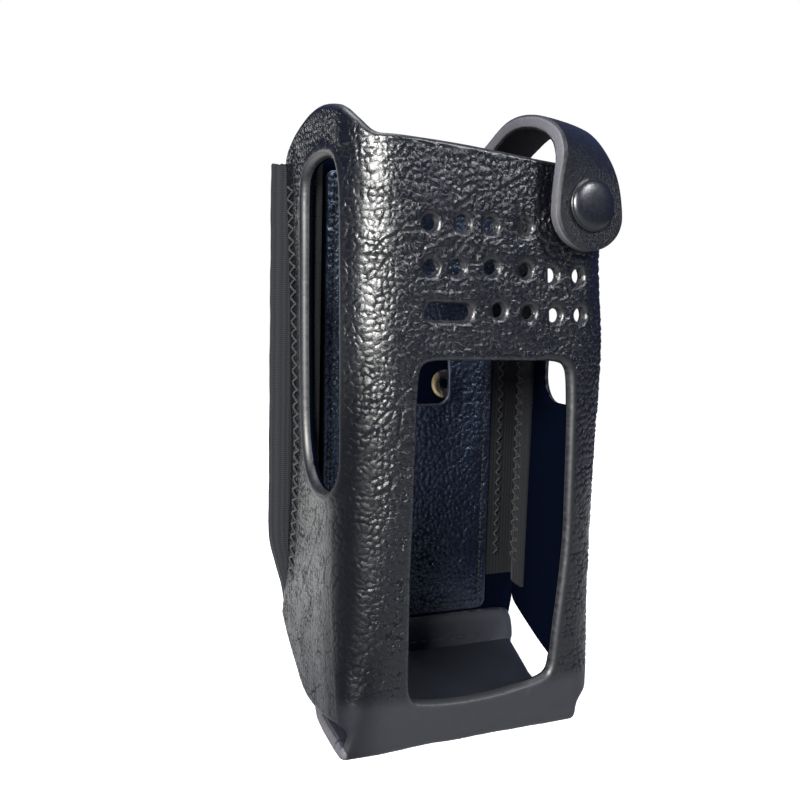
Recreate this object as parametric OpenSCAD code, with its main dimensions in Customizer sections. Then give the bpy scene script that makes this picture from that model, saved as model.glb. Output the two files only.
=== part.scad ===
// Leather carry case for a hand-held two-way radio: a one-piece wrap closed by a back panel with
// elastic gussets, a retaining strap with a snap, and a belt loop on a swivel.
// Origin: centre of the case footprint on the ground. +Z up, front face towards -Y, left is -X,
// millimetres.

/* [Case body] */
// Outside width between the two side walls
case_w = 68; // [66:0.5:74]
// Distance of the front face ahead of the origin
front_y = 24; // [22:0.5:26]
// Leather thickness of the one-piece wrap
leather_t = 3; // [2.4:0.1:3.4]
// Outside radius of the two upright front corners
corner_r = 9; // [6:0.5:12]
// Height of the front top edge at its left end
front_top = 133.8; // [128:0.2:138]
// Drop of the front top edge from its left end to its right end
top_drop = 2.8; // [0:0.2:5]
// Height of the raised lobe on the left wall
lobe_top = 143.9; // [138:0.1:148]
// Distance of the side walls' rear edges behind the origin
side_rear_y = 19.5; // [18:0.5:19.5]

/* [Front openings] */
// Width of the display and keypad window
window_w = 37; // [30:0.5:40]
// Height of the window's top edge
window_top = 87.5; // [80:0.5:92]
// Height of the window's lower corners
window_low = 12.5; // [11:0.5:18]
// Sag of the window's lower edge at its middle
window_sag = 2.4; // [0:0.1:3]
// Diameter of the speaker holes
grille_d = 3.2; // [2.4:0.1:4]
// Spacing of the speaker holes along a row
grille_pitch = 7.5; // [6.5:0.1:8]
// Height of the top row of speaker holes
grille_z = 116.7; // [114:0.1:119]
// Spacing between the rows of speaker holes
grille_row = 9.4; // [8:0.1:10]

/* [Side openings] */
// Height of the lower end of the left push-button slot
slot_low = 56.2; // [50:0.5:64]
// Height of the upper end of the left push-button slot
slot_high = 131.5; // [120:0.5:132]
// Height of the lower edge of the right connector opening
port_low = 75; // [66:0.5:84]
// Height of the upper edge of the right connector opening
port_high = 118; // [104:0.5:122]

/* [Back] */
// Distance of the back panel's inner face behind the origin
panel_y = 24.4; // [24.4:0.1:26]
// Thickness of the back panel
panel_t = 2.8; // [2:0.1:3.2]
// Width of the back panel
panel_w = 64; // [60:0.5:66]
// Height of the back panel's top edge
panel_top = 133.3; // [130:0.1:133.4]
// Width of the inner lining
liner_w = 50; // [46:0.5:50]
// Thickness of the inner lining
liner_t = 1.4; // [1.2:0.1:1.6]
// Height of the lining's lower edge
liner_low = 12.5; // [12.4:0.1:14]
// Thickness of the elastic webbing
elastic_t = 1.6; // [1.2:0.1:1.6]
// How far the elastic bulges out from the centre plane
elastic_reach = 38; // [37:0.5:39]

/* [Strap and snap] */
// Width of the retaining strap
strap_w = 16.5; // [14:0.5:18]
// Thickness of the retaining strap
strap_t = 3.2; // [2.6:0.1:3.2]
// Distance of the strap's centre line to the right of the origin
strap_x = 20; // [17:0.5:21]
// Height of the snap's centre
snap_z = 122; // [120:0.5:124]
// Diameter of the snap's cap
cap_d = 12.4; // [10:0.1:14]
// Diameter of the snap stud's head
stud_d = 4.4; // [3.6:0.1:4.8]

/* [Swivel and belt loop] */
// Height of the swivel axis
swivel_z = 88.5; // [86:0.5:90]
// Spacing of the four plate rivets
rivet_pitch = 21; // [20:0.5:22]
// Diameter of the swivel button's neck
neck_d = 9.5; // [8:0.1:10]
// Radial running clearance of the hub on the neck
run_clear = 0.05; // [0.02:0.01:0.1]
// Width of the belt loop
loop_w = 50; // [44:1:56]
// Height of the belt loop's lower fold
loop_low = 24; // [18:1:34]
// Width of the passage left for the belt
belt_gap = 7; // [5:0.5:9]

/* [Hidden] */
$fn = 64;

half_w = case_w / 2;
front = -front_y;
panel_out = panel_y + panel_t;
cut = 1;           // overrun of cutting solids
thread_t = 0.45;   // how far thread stands off a face
stitch_w = 0.5;    // width of a line of thread

leather_col = [0.035, 0.037, 0.042];
web_col = [0.05, 0.05, 0.06];
thread_col = [0.03, 0.03, 0.035];
black_metal = [0.06, 0.06, 0.065];
brass_col = [0.72, 0.56, 0.30];

// ---- Shared curves and shapes ----

// Point on a cubic curve with four control points
function bezier(p, t) = pow(1 - t, 3) * p[0] + 3 * pow(1 - t, 2) * t * p[1]
    + 3 * (1 - t) * t * t * p[2] + pow(t, 3) * p[3];
// n points along the curve, leaving out its last one
function curve(p, n) = [for (i = [0 : n - 1]) bezier(p, i / n)];
// n + 1 points on an arc about (cx, cy) from angle a0 to a1
function arc(cx, cy, r, a0, a1, n = 6) =
    [for (i = [0 : n]) let (a = a0 + (a1 - a0) * i / n) [cx + r * cos(a), cy + r * sin(a)]];

// A (y, z) outline drawn out along X from x0 to x1
module along_x(x0, x1) translate([x0, 0, 0]) rotate([90, 0, 90]) linear_extrude(x1 - x0) children();
// An (x, z) outline drawn out along Y from y0 to y1
module along_y(y0, y1) translate([0, y1, 0]) rotate([90, 0, 0]) linear_extrude(y1 - y0) children();
// A round bar along Y
module bar_y(r, y0, y1, x = 0, z = 0)
    translate([x, y1, z]) rotate([90, 0, 0]) cylinder(r = r, h = y1 - y0);
// Rectangle with round corners between two opposite corner points
module round_rect(low, high, r) {
    size = high - low;
    translate([low.x + r, low.y]) square([size.x - 2 * r, size.y]);
    translate([low.x, low.y + r]) square([size.x, size.y - 2 * r]);
    for (x = [low.x + r, high.x - r], y = [low.y + r, high.y - r]) translate([x, y]) circle(r = r);
}

// ---- Wrap ----

wrap_rear = panel_y - 0.1;   // rear limit of the walls, just clear of the back panel
wrap_h = 160;                // taller than any wall
right_start = 25.8;          // x where the front wall meets the right wall's outline
foot_left = -33.4;           // left end of the foot strip and of the bottom's front edge
foot_h = 8.6;
foot_r = 2.5;                // rounding of the lower front edge
flap_left = -28.6;
flap_w = 60;
flap_top = liner_low - 0.2;

// Left wall outline (y, z): lobe on top, cut-back lower edge
lobe_peak = [2, lobe_top];
lobe_end = [side_rear_y, lobe_top - 6.4];
left_side = concat(
    curve([[front, front_top], [front + 4.5, front_top + 5.2], [front + 15, lobe_top], lobe_peak], 12),
    curve([lobe_peak, [10, lobe_top], [side_rear_y - 1.5, lobe_top - 0.9], lobe_end], 10),
    [lobe_end, [side_rear_y, 24.5], [wrap_rear, 21], [wrap_rear, 17.5], [15.4, 10.7], [10, 6.4],
     [6.2, 4.2], [2, 3.3], [-2, 3.2], [-11.3, 4.4], [-21, 7], [front, 8.2]]);
// Right wall outline (y, z)
right_top = front_top - top_drop;
right_side = [[front, right_top], [side_rear_y, right_top], [side_rear_y, 24.5], [wrap_rear, 22],
              [wrap_rear, 19], [18, 16.5], [10, 13], [0, 9.6], [-12, 8], [front, 8]];
// Front wall outline between the corners (x, z)
front_mid = [[-half_w + corner_r, 0], [right_start, 0], [right_start, right_top],
             [14, front_top - 2.2], [-4, front_top - 0.8], [-14, front_top - 0.1],
             [-half_w + corner_r, front_top]];
// Bottom panel (x, y): drawn in towards the back on its left, spreading on its right
bottom_plan = [[foot_left, front], [right_start, front], [right_start, -3.8], [31.4, 16],
               [31.4, panel_y], [flap_left, panel_y], [-29, 15], [foot_left, -2], [foot_left, -10]];

// Speaker rows: number of holes, x of the first, pitch, height
grille_x = -16.3;
low_row_z = grille_z - 2 * grille_row + 0.3;
speaker_rows = [[4, grille_x, grille_pitch, grille_z],
                [6, grille_x, grille_pitch, grille_z - grille_row],
                [4, 0, grille_pitch * 0.97, low_row_z]];
// Oblong hole at the left of the low row
oblong_x = [-16.7, -6.3];
oblong_half_h = 1.8;

snap_hole_r = 1.85;
post_r = 1.8;   // snap cap's post and eyelet's barrel

// Plan of the wrap: front wall and both side walls, open at the back
module wrap_plan() {
    corner_x = half_w - corner_r;
    corner_y = front + corner_r;
    difference() {
        union() {
            translate([-half_w, corner_y]) square([case_w, wrap_rear - corner_y]);
            translate([-corner_x, front]) square([2 * corner_x, corner_r + 1]);
            for (side = [-1, 1]) translate([side * corner_x, corner_y]) circle(r = corner_r);
        }
        translate([-half_w + leather_t, corner_y])
            square([case_w - 2 * leather_t, wrap_rear - front]);
        translate([-corner_x, front + leather_t]) square([2 * corner_x, corner_r]);
        for (side = [-1, 1])
            translate([side * corner_x, corner_y]) circle(r = corner_r - leather_t);
    }
}

// The part of the upright wrap inside a drawn-out outline
module wrap_within() intersection() {
    linear_extrude(wrap_h) wrap_plan();
    children();
}

module shell_body() {
    wrap_within() along_x(-half_w - cut, -half_w + corner_r) polygon(left_side);
    wrap_within() along_y(front - cut, front + 10) polygon(front_mid);
    wrap_within() along_x(right_start, half_w + cut) polygon(right_side);
    // Flat strip at the foot of the front wall
    translate([foot_left, front, 0]) cube([right_start - foot_left, leather_t, foot_h]);
    linear_extrude(leather_t) polygon(bottom_plan);
    // Flap turned up against the back panel, sunk 1 into the bottom
    translate([flap_left, panel_y - leather_t, leather_t - 1])
        cube([flap_w, leather_t, flap_top - leather_t + 1]);
}

// Window outline (x, z): round upper corners, sagging lower edge a little higher on the right
module window_hole() {
    half = window_w / 2;
    round_r = 2.5;
    low_inset = 1.6;
    right_rise = 1.2;
    steps = 12;
    polygon(concat([[half, window_low + 4], [half, window_top - round_r]],
        arc(half - round_r, window_top - round_r, round_r, 0, 90, 4),
        arc(-half + round_r, window_top - round_r, round_r, 90, 180, 4),
        [[-half, window_low + 3]],
        [for (i = [0 : steps]) let (a = -1 + 2 * i / steps)
            [a * (half - low_inset),
             window_low - window_sag * (1 - a * a) + (a > 0 ? right_rise * a * a : 0)]]));
}

// A cut through the front wall
module front_cut() along_y(front - cut, front + leather_t + cut) children();
module front_hole(r, x, z) bar_y(r, front - cut, front + leather_t + cut, x, z);

module main_shell() color(leather_col) difference() {
    shell_body();
    // Rounded lower front edge
    along_x(-40, 40) difference() {
        translate([front - cut, -cut]) square(foot_r + cut);
        translate([front + foot_r, foot_r]) circle(r = foot_r);
    }
    along_y(front - 2, front + leather_t + 6) window_hole();
    for (row = speaker_rows, i = [0 : row[0] - 1])
        front_hole(grille_d / 2, row[1] + i * row[2], row[3]);
    front_cut() round_rect([oblong_x[0], low_row_z - oblong_half_h],
                           [oblong_x[1], low_row_z + oblong_half_h], oblong_half_h - 0.01);
    // Push-button slot in the left wall
    along_x(-half_w - cut, -half_w + leather_t + 3)
        round_rect([-14.9, slot_low], [8.2, slot_high], 8);
    // Connector opening in the right wall
    along_x(half_w - leather_t - 3, half_w + cut)
        round_rect([-12, port_low], [8, port_high], 6);
    // Hole for the snap's eyelet
    front_hole(snap_hole_r, strap_x, snap_z);
}

// ---- Rivets ----

rivet_hole_r = 1.6;
rivet_shank_r = 1.55;
plate_rivet_at = [rivet_pitch / 2, rivet_pitch / 2];   // x and z offsets from the swivel axis
loop_rivet_at = [12, 9];

// Children at four places about the swivel axis
module at_four(offsets, y = 0)
    for (x = [-1, 1], z = [-1, 1])
        translate([x * offsets[0], y, swivel_z + z * offsets[1]]) children();
module rivet_holes(offsets, y0, y1) at_four(offsets) bar_y(rivet_hole_r, y0 - cut, y1 + cut);
// Rivet pointing back: foot outline (radius, height), then shank and domed head above the grip
module rivet(foot, grip, head_r) rotate([-90, 0, 0]) rotate_extrude()
    polygon(concat(foot, [[rivet_shank_r, foot[len(foot) - 1][1]], [rivet_shank_r, grip],
        [head_r, grip], [head_r, grip + 0.3], [2.2, grip + 0.9], [0, grip + 1]]));

// ---- Back panel and lining ----

module back_panel() color(leather_col) difference() {
    half = panel_w / 2;
    low = 0.6;
    wide_r = 7;
    tight_r = 4;
    // Round corners, a flare at the lower right, and a raised left part of the top edge
    along_y(panel_y, panel_out) polygon(concat(
        arc(-half + wide_r, low + wide_r, wide_r, 180, 270),
        arc(half - tight_r, low + tight_r, tight_r, 270, 360),
        [[half + 2, 9], [half + 3.4, 16], [half + 3.4, 28], [half, 38]],
        arc(half - wide_r, panel_top - wide_r, wide_r, 0, 90),
        [[8, panel_top], [2, panel_top + 0.8], [-8, panel_top + 2.6], [-20, panel_top + 3.7],
         [-27, panel_top + 3.2], [-half + 1, panel_top - 0.4], [-half, panel_top - 12]]));
    rivet_holes(plate_rivet_at, panel_y, panel_out);
}

module back_liner() color(leather_col) difference() {
    along_y(panel_y - liner_t, panel_y) difference() {
        round_rect([-liner_w / 2, liner_low], [liner_w / 2, panel_top], 2);
        round_rect([-11, 72.6], [11, 93], 3);
    }
    // Pockets pressed into the lining's back by the rivet heads
    at_four(plate_rivet_at) bar_y(4.3, panel_y - 0.75, panel_y + cut);
}

// ---- Elastic gussets ----

gusset_low = 25;
bulge_r = 2.4;
side_strip_x = -half_w + leather_t + 0.1;   // outer face of the left side strip
side_strip_y = 11;                          // its front end
bulge_end = 29.3;         // distance from the centre plane where the bulge's front leg ends
panel_strip_end = 25.6;   // the same for the strip on the back panel

// Plan of the left gusset: a strip inside the side wall, a round bulge past the corner, and a
// strip on the back panel
module gusset_plan() {
    bulge_x = bulge_r - elastic_reach;
    bulge_y = panel_y - bulge_r;
    front_leg_y = bulge_y - bulge_r;
    difference() {
        translate([bulge_x, bulge_y]) circle(r = bulge_r);
        translate([bulge_x, bulge_y]) circle(r = bulge_r - elastic_t);
        translate([bulge_x, bulge_y - 10]) square(20);
    }
    translate([bulge_x, front_leg_y]) square([-bulge_x - bulge_end, elastic_t]);
    translate([side_strip_x, side_strip_y])
        square([elastic_t, front_leg_y + elastic_t - side_strip_y]);
    translate([bulge_x, panel_y - elastic_t]) square([-bulge_x - panel_strip_end, elastic_t]);
}
module left_elastic_gusset() color(web_col)
    translate([0, 0, gusset_low]) linear_extrude(108) gusset_plan();
module right_elastic_gusset() color(web_col)
    translate([0, 0, gusset_low]) linear_extrude(106) mirror([1, 0]) gusset_plan();

// ---- Stitching of the body ----

zig_legs = 66;
zig_rise = 1.5;
zig_low = 28.5;

// Zigzag line rising from zig_low, swinging half_swing to each side of centre
module zigzag(centre, half_swing, line_w, legs = zig_legs) {
    function edge(i, shift) = [(i % 2 == 0 ? -half_swing : half_swing) + shift, i * zig_rise];
    translate([centre, zig_low]) polygon(concat([for (i = [0 : legs]) edge(i, -line_w / 2)],
                                                [for (i = [legs : -1 : 0]) edge(i, line_w / 2)]));
}

// Runs on the wall's outer face and on the elastic's inner face
module left_gusset_zigzag() color(thread_col)
    for (x = [-half_w - thread_t, side_strip_x + elastic_t])
        along_x(x, x + thread_t) zigzag(16, 1.9, 0.7);
module right_gusset_zigzag() color(thread_col) mirror([1, 0, 0]) left_gusset_zigzag();

// Left run inside and outside the back panel; the outer run has its own number of legs
module panel_stitch(outer_legs) color(thread_col) {
    along_y(panel_y - elastic_t - thread_t, panel_y - elastic_t) zigzag(-27.7, 0.7, stitch_w);
    along_y(panel_out, panel_out + thread_t) zigzag(-27.7, 0.7, stitch_w, outer_legs);
}
module left_panel_stitch() panel_stitch(zig_legs);
// The right outer run stops short of the strap sewn on above it
module right_panel_stitch() mirror([1, 0, 0]) panel_stitch(52);

module bottom_flap_stitch() color(thread_col)
    for (y = [panel_y - leather_t - thread_t, panel_out])
        translate([-26, y, 5]) cube([50, thread_t, 0.6]);

// Thread round three sides of the lining
module liner_stitch() color(thread_col) along_y(panel_y - liner_t - thread_t, panel_y - liner_t) {
    line_x = 22.6;
    half_span = line_x + stitch_w / 2;
    for (side = [-1, 1])
        translate([side * line_x - stitch_w / 2, 15]) square([stitch_w, 115.5]);
    translate([-half_span, 14.7]) square([2 * half_span, stitch_w]);
}

// ---- Strap ----

strap_left = strap_x - strap_w / 2;
strap_right = strap_x + strap_w / 2;
strap_in = front - 2.3;           // inner face of the hanging tip
strap_out = strap_in - strap_t;
tip_y = strap_in - strap_t / 2;
bend_relief_r = 2.4;

// Centre line in side view (y, z), from the rear bend over the top to the front bend
rear_bend = [panel_out + strap_t / 2, 133.5];
rear_slope = [17.4, 138.9];
crown = [0, 143.6];
front_slope = [-22, 139.4];
front_bend = [front - 3.6, 134.6];
arch_line = concat(curve([rear_bend, [rear_bend.x, 135.8], [24.5, 136.6], rear_slope], 8),
                   curve([rear_slope, [12.5, 141], [6, 143.6], crown], 6),
                   curve([crown, [-8, 143.6], [-16.5, 142.2], front_slope], 8),
                   curve([front_slope, [-24.6, 138], [-26.8, 136.6], front_bend], 6),
                   [front_bend]);
// From the front bend down the tip
tip_line = concat(
    curve([front_bend, [front_bend.x - 0.9, 132.4], [tip_y, 130.6], [tip_y, 128.8]], 8),
    [[tip_y, 128.8], [tip_y, 119], [tip_y, 110]]);

function unit(v) = v / norm(v);
function tangent(line, i) = unit(line[min(i + 1, len(line) - 1)] - line[max(i - 1, 0)]);
function shifted(line, d) =
    [for (i = [0 : len(line) - 1]) let (t = tangent(line, i)) line[i] + d * [-t.y, t.x]];
function reversed(line) = [for (i = [len(line) - 1 : -1 : 0]) line[i]];

// The strap's thickness laid along a centre line and drawn out to its width
module strap_band(line) along_x(strap_left, strap_right)
    polygon(concat(shifted(line, strap_t / 2), reversed(shifted(line, -strap_t / 2))));
// A round bar across the strap at a bend
module bend_bar(r, at, overrun = 0)
    translate([strap_left - overrun, at.x, at.y]) rotate([0, 90, 0])
        cylinder(r = r, h = strap_w + 2 * overrun);

module strap_root() color(leather_col) difference() {
    along_y(panel_out, panel_out + strap_t)
        round_rect([strap_left, 109.5], [strap_right, rear_bend.y], 2.5);
    bend_bar(bend_relief_r, rear_bend, cut);
    translate([strap_left - cut, panel_out - cut, rear_bend.y - 0.6])
        cube([strap_w + 2 * cut, strap_t + 2 * cut, 2]);
}
module strap_root_stitch() color(thread_col)
    along_y(panel_out + strap_t, panel_out + strap_t + thread_t) difference() {
        inset = 2.2;
        low = 112;
        size = [strap_w - 2 * inset, 16];
        translate([strap_left + inset, low]) square(size);
        translate([strap_left + inset + stitch_w, low + stitch_w])
            square(size - 2 * [stitch_w, stitch_w]);
    }
module strap_arch() color(leather_col) {
    difference() {
        strap_band(arch_line);
        bend_bar(bend_relief_r, front_bend, cut);
    }
    bend_bar(strap_t / 2 - 0.05, rear_bend);
}
module strap_tip() color(leather_col) difference() {
    tip_z = snap_z - 0.5;   // centre of the round end
    intersection() {
        union() {
            strap_band(tip_line);
            bend_bar(strap_t / 2, front_bend);
        }
        along_y(front - 12, front + 2) {
            translate([strap_left, tip_z]) square([strap_w, 20]);
            translate([strap_x, tip_z]) circle(r = strap_w / 2);
        }
    }
    bar_y(snap_hole_r, front - 12, front + 1, strap_x, snap_z);
}

// ---- Snap ----

// Children on the snap's axis, pointing to the front, or to the back with turn = -90
module at_snap(y, turn = 90) translate([strap_x, y, snap_z]) rotate([turn, 0, 0]) children();

// Shallow domed cap with a rolled rim, and its post through the strap
module snap_cap() color(black_metal) at_snap(strap_out) {
    cap_r = cap_d / 2;
    rim_h = 0.6;
    rotate_extrude() polygon(concat([[0, 0], [cap_r - 0.3, 0], [cap_r, 0.3], [cap_r, rim_h]],
        [for (i = [1 : 8]) let (a = i * 90 / 8) [cap_r * cos(a), rim_h + sin(a)]]));
    translate([0, 0, -strap_t]) cylinder(r = post_r, h = strap_t + 0.3);
}
module snap_socket() color(black_metal) at_snap(front - 0.85) difference() {
    cylinder(r = 5.8, h = 1.45);
    translate([0, 0, -cut]) cylinder(r = 4.4, h = 0.95 + cut);
}
module snap_stud() color(black_metal) at_snap(front) {
    cylinder(r = 4.2, h = 0.7);
    cylinder(r = stud_d / 2, h = 1.5);
}
module snap_eyelet() color(black_metal) at_snap(front + leather_t, -90) {
    cylinder(r = 4.8, h = 0.9);
    translate([0, 0, -leather_t]) cylinder(r = post_r, h = leather_t + 0.2);
}

// ---- Swivel and belt loop ----

plate_t = 1.5;
plate_half = 16;
pin_r = 2.5;
hub_gap = 2.8;   // from the back panel to the hub
hub_t = 4.6;
hub_y = panel_out + hub_gap;
leaf_y = hub_y + hub_t;
loop_t = 3;
loop_out = leaf_y + 2 * loop_t + belt_gap;
loop_high = swivel_z + 19.5;
fold_r = 6.49;

module swivel_plate() color(black_metal) difference() {
    along_y(panel_out, panel_out + plate_t)
        round_rect([-plate_half, swivel_z - plate_half], [plate_half, swivel_z + plate_half], 5);
    rivet_holes(plate_rivet_at, panel_out, panel_out + plate_t);
    bar_y(pin_r + 0.02, panel_out - cut, panel_out + plate_t + cut, z = swivel_z);
}
// Four rivets: flat head inside the case, domed head on the plate
module plate_rivets() color(brass_col) at_four(plate_rivet_at, panel_y)
    rivet([[0, -0.6], [3.6, -0.6], [4, -0.3], [4, 0]], panel_t + plate_t, 3);
// Pin through the plate, neck through the hub, and round head behind it
module swivel_button() color(black_metal) translate([0, panel_out, swivel_z]) rotate([-90, 0, 0]) {
    cylinder(r = pin_r, h = plate_t + 0.5);
    translate([0, 0, plate_t]) cylinder(r = neck_d / 2, h = hub_gap - plate_t + hub_t + 0.5);
    translate([0, 0, hub_gap + hub_t + 0.3]) cylinder(r = 7.2, h = 2);
}
module loop_hub() color(black_metal) difference() {
    bar_y(19, hub_y, leaf_y, z = swivel_z);
    bar_y(neck_d / 2 + run_clear, hub_y - cut, leaf_y + cut, z = swivel_z);
    rivet_holes(loop_rivet_at, hub_y, leaf_y);
    // Recesses for the rivets' flat feet
    at_four(loop_rivet_at) bar_y(3.1, hub_y - cut, hub_y + 1);
}
// Flattened tube of leather, open at both sides, holed for the swivel button and rivets
module loop_leather() color(leather_col) difference() {
    half = loop_w / 2;
    intersection() {
        along_x(-half, half) difference() {
            round_rect([leaf_y, loop_low], [loop_out, loop_high], fold_r);
            round_rect([leaf_y + loop_t, loop_low + loop_t],
                       [loop_out - loop_t, loop_high - loop_t], fold_r - loop_t);
        }
        along_y(leaf_y - cut, loop_out + cut)
            round_rect([-half, loop_low], [half, loop_high], 1.5);
    }
    bar_y(9, leaf_y - cut, leaf_y + loop_t + cut, z = swivel_z);
    rivet_holes(loop_rivet_at, leaf_y, leaf_y + loop_t);
}
// Four rivets holding the loop's front leaf to the hub
module loop_rivets() color(black_metal) at_four(loop_rivet_at, hub_y)
    rivet([[0, 0.2], [3, 0.2], [3, 1]], hub_t + loop_t, 3.2);
// Two rows of thread up the loop's outer leaf
module loop_stitch() color(thread_col) along_y(loop_out, loop_out + thread_t)
    for (side = [-1, 1]) translate([side * (loop_w / 2 - 3) - stitch_w / 2, loop_low + 8])
        square([stitch_w, loop_high - loop_low - 16]);

main_shell();
back_panel();
back_liner();
left_elastic_gusset();
right_elastic_gusset();
left_gusset_zigzag();
right_gusset_zigzag();
left_panel_stitch();
right_panel_stitch();
bottom_flap_stitch();
liner_stitch();
strap_root();
strap_root_stitch();
strap_arch();
strap_tip();
snap_cap();
snap_socket();
snap_stud();
snap_eyelet();
swivel_plate();
plate_rivets();
swivel_button();
loop_hub();
loop_leather();
loop_rivets();
loop_stitch();
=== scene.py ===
"""Pebbled-leather radio case with a snap strap, elastic gussets and a swivel belt loop.

It stands upright: x runs from left (-) to right (+), y from front (-) to back (+), z up.
Lengths are millimetres until make() writes the meshes; lights, camera and blends are in metres.
Each leather piece is cut from a flat pattern (u across, v up). A map function gives the
point and the outward normal for each pattern position.
"""
import math

import bmesh
import bpy
import numpy as np
from mathutils import Matrix, Vector, kdtree
from mathutils.geometry import delaunay_2d_cdt


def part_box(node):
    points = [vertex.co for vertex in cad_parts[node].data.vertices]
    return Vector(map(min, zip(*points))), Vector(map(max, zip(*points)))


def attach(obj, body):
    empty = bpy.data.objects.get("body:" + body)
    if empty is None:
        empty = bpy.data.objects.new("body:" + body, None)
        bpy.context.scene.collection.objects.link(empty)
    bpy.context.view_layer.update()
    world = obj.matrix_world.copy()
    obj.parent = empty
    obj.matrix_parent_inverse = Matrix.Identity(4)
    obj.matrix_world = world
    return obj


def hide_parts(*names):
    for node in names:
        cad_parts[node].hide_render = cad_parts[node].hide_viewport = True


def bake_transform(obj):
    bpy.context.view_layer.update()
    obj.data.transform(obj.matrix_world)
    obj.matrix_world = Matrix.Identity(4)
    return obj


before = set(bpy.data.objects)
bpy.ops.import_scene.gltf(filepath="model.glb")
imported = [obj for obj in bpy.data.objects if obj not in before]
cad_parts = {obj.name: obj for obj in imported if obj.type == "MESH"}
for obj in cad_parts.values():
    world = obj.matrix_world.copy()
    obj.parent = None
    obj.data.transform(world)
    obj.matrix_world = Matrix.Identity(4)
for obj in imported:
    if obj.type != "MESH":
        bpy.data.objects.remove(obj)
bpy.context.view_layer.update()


def box_mm(node):
    low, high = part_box(node)
    return np.array(low) * 1000, np.array(high) * 1000


SHELL_LOW, _ = box_mm("main_shell")
PANEL_LOW, PANEL_HIGH = box_mm("back_panel")
LINER_LOW, LINER_HIGH = box_mm("back_liner")
CAP_LOW, CAP_HIGH = box_mm("snap_cap")
FRONT_Y = float(SHELL_LOW[1])
WALL_REAR_Y = 19.5              # rear edges of the side walls
PANEL_IN, PANEL_OUT = float(PANEL_LOW[1]), float(PANEL_HIGH[1])
LINER_Y = float(LINER_LOW[1])   # lining's inner face
LEATHER = 3.0                   # thickness of the wrap and of the belt loop
SNAP_X = float((CAP_LOW[0] + CAP_HIGH[0]) / 2)
SNAP_Z = float((CAP_LOW[2] + CAP_HIGH[2]) / 2)
PIVOT_Z = 88.5                  # centre of the swivel plate, button and hub
PLATE_RIVETS = [(x, PIVOT_Z + z) for x in (-10.5, 10.5) for z in (-10.5, 10.5)]
HUB_RIVETS = [(x, z) for x in (-12, 12) for z in (-9, 9)]       # from the pivot


# ---------------------------------------------------------------- numeric helpers
def rise(low, high, x):
    """Smooth step from 0 at low to 1 at high."""
    t = np.clip((x - low) / (high - low), 0, 1)
    return t * t * (3 - 2 * t)


def fall(low, high, x):
    return 1 - rise(low, high, x)


def bell(x, width, power=2):
    return np.exp(-(x / width) ** power)


def columns(*parts):
    return np.stack(np.broadcast_arrays(*parts), -1)


def unit(vectors):
    return vectors / (np.linalg.norm(vectors, axis=-1, keepdims=True) + 1e-12)


def arc_length(points):
    steps = np.linalg.norm(np.diff(points, axis=0), axis=1)
    return np.concatenate([[0], np.cumsum(steps)])


def interp_rows(at, stations, rows):
    return columns(*(np.interp(at, stations, column) for column in rows.T))


def hash01(ix, iy, seed):
    n = np.sin(ix * 127.1 + iy * 311.7 + seed * 74.7) * 43758.5453
    return n - np.floor(n)


def noise(x, y, seed):
    ix, iy = np.floor(x), np.floor(y)
    fx, fy = (f * f * f * (f * (f * 6 - 15) + 10) for f in (x - ix, y - iy))
    a, b = hash01(ix, iy, seed), hash01(ix + 1, iy, seed)
    c, d = hash01(ix, iy + 1, seed), hash01(ix + 1, iy + 1, seed)
    return a + (b - a) * fx + (c - a) * fy + (a - b - c + d) * fx * fy


def fractal(x, y, seed, octaves):
    total, weights, weight = 0, 0, 1.0
    for i in range(octaves):
        total = total + weight * noise(x * 2 ** i, y * 2 ** i, seed + i * 13)
        weights += weight
        weight *= 0.5
    return total / weights


def nearest_cell(x, y, seed):
    """Cell of a jittered grid: distance to its border, direction across that border,
    its number, and the offset from its centre."""
    jitter = 0.72
    ix, iy = np.floor(x), np.floor(y)
    dist1, dist2 = np.full(x.shape, 9.0), np.full(x.shape, 9.0)
    x1, y1, x2, y2, number = np.zeros((5, *x.shape))
    for dx in (-1, 0, 1):
        for dy in (-1, 0, 1):
            jx, jy = ix + dx, iy + dy
            cx = jx + 0.5 + jitter * (hash01(jx, jy, seed) - 0.5)
            cy = jy + 0.5 + jitter * (hash01(jx, jy, seed + 5) - 0.5)
            dist = np.hypot(x - cx, y - cy)
            first = dist < dist1
            second = ~first & (dist < dist2)
            dist2 = np.where(first, dist1, np.where(second, dist, dist2))
            x2 = np.where(first, x1, np.where(second, cx, x2))
            y2 = np.where(first, y1, np.where(second, cy, y2))
            number = np.where(first, hash01(jx, jy, seed + 9), number)
            dist1 = np.where(first, dist, dist1)
            x1 = np.where(first, cx, x1)
            y1 = np.where(first, cy, y1)
    ex, ey = x2 - x1, y2 - y1
    length = np.hypot(ex, ey) + 1e-9
    ex, ey = ex / length, ey / length
    border = np.maximum(((x1 + x2) / 2 - x) * ex + ((y1 + y2) / 2 - y) * ey, 0)
    return border, ex, ey, number, x - x1, y - y1


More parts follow.
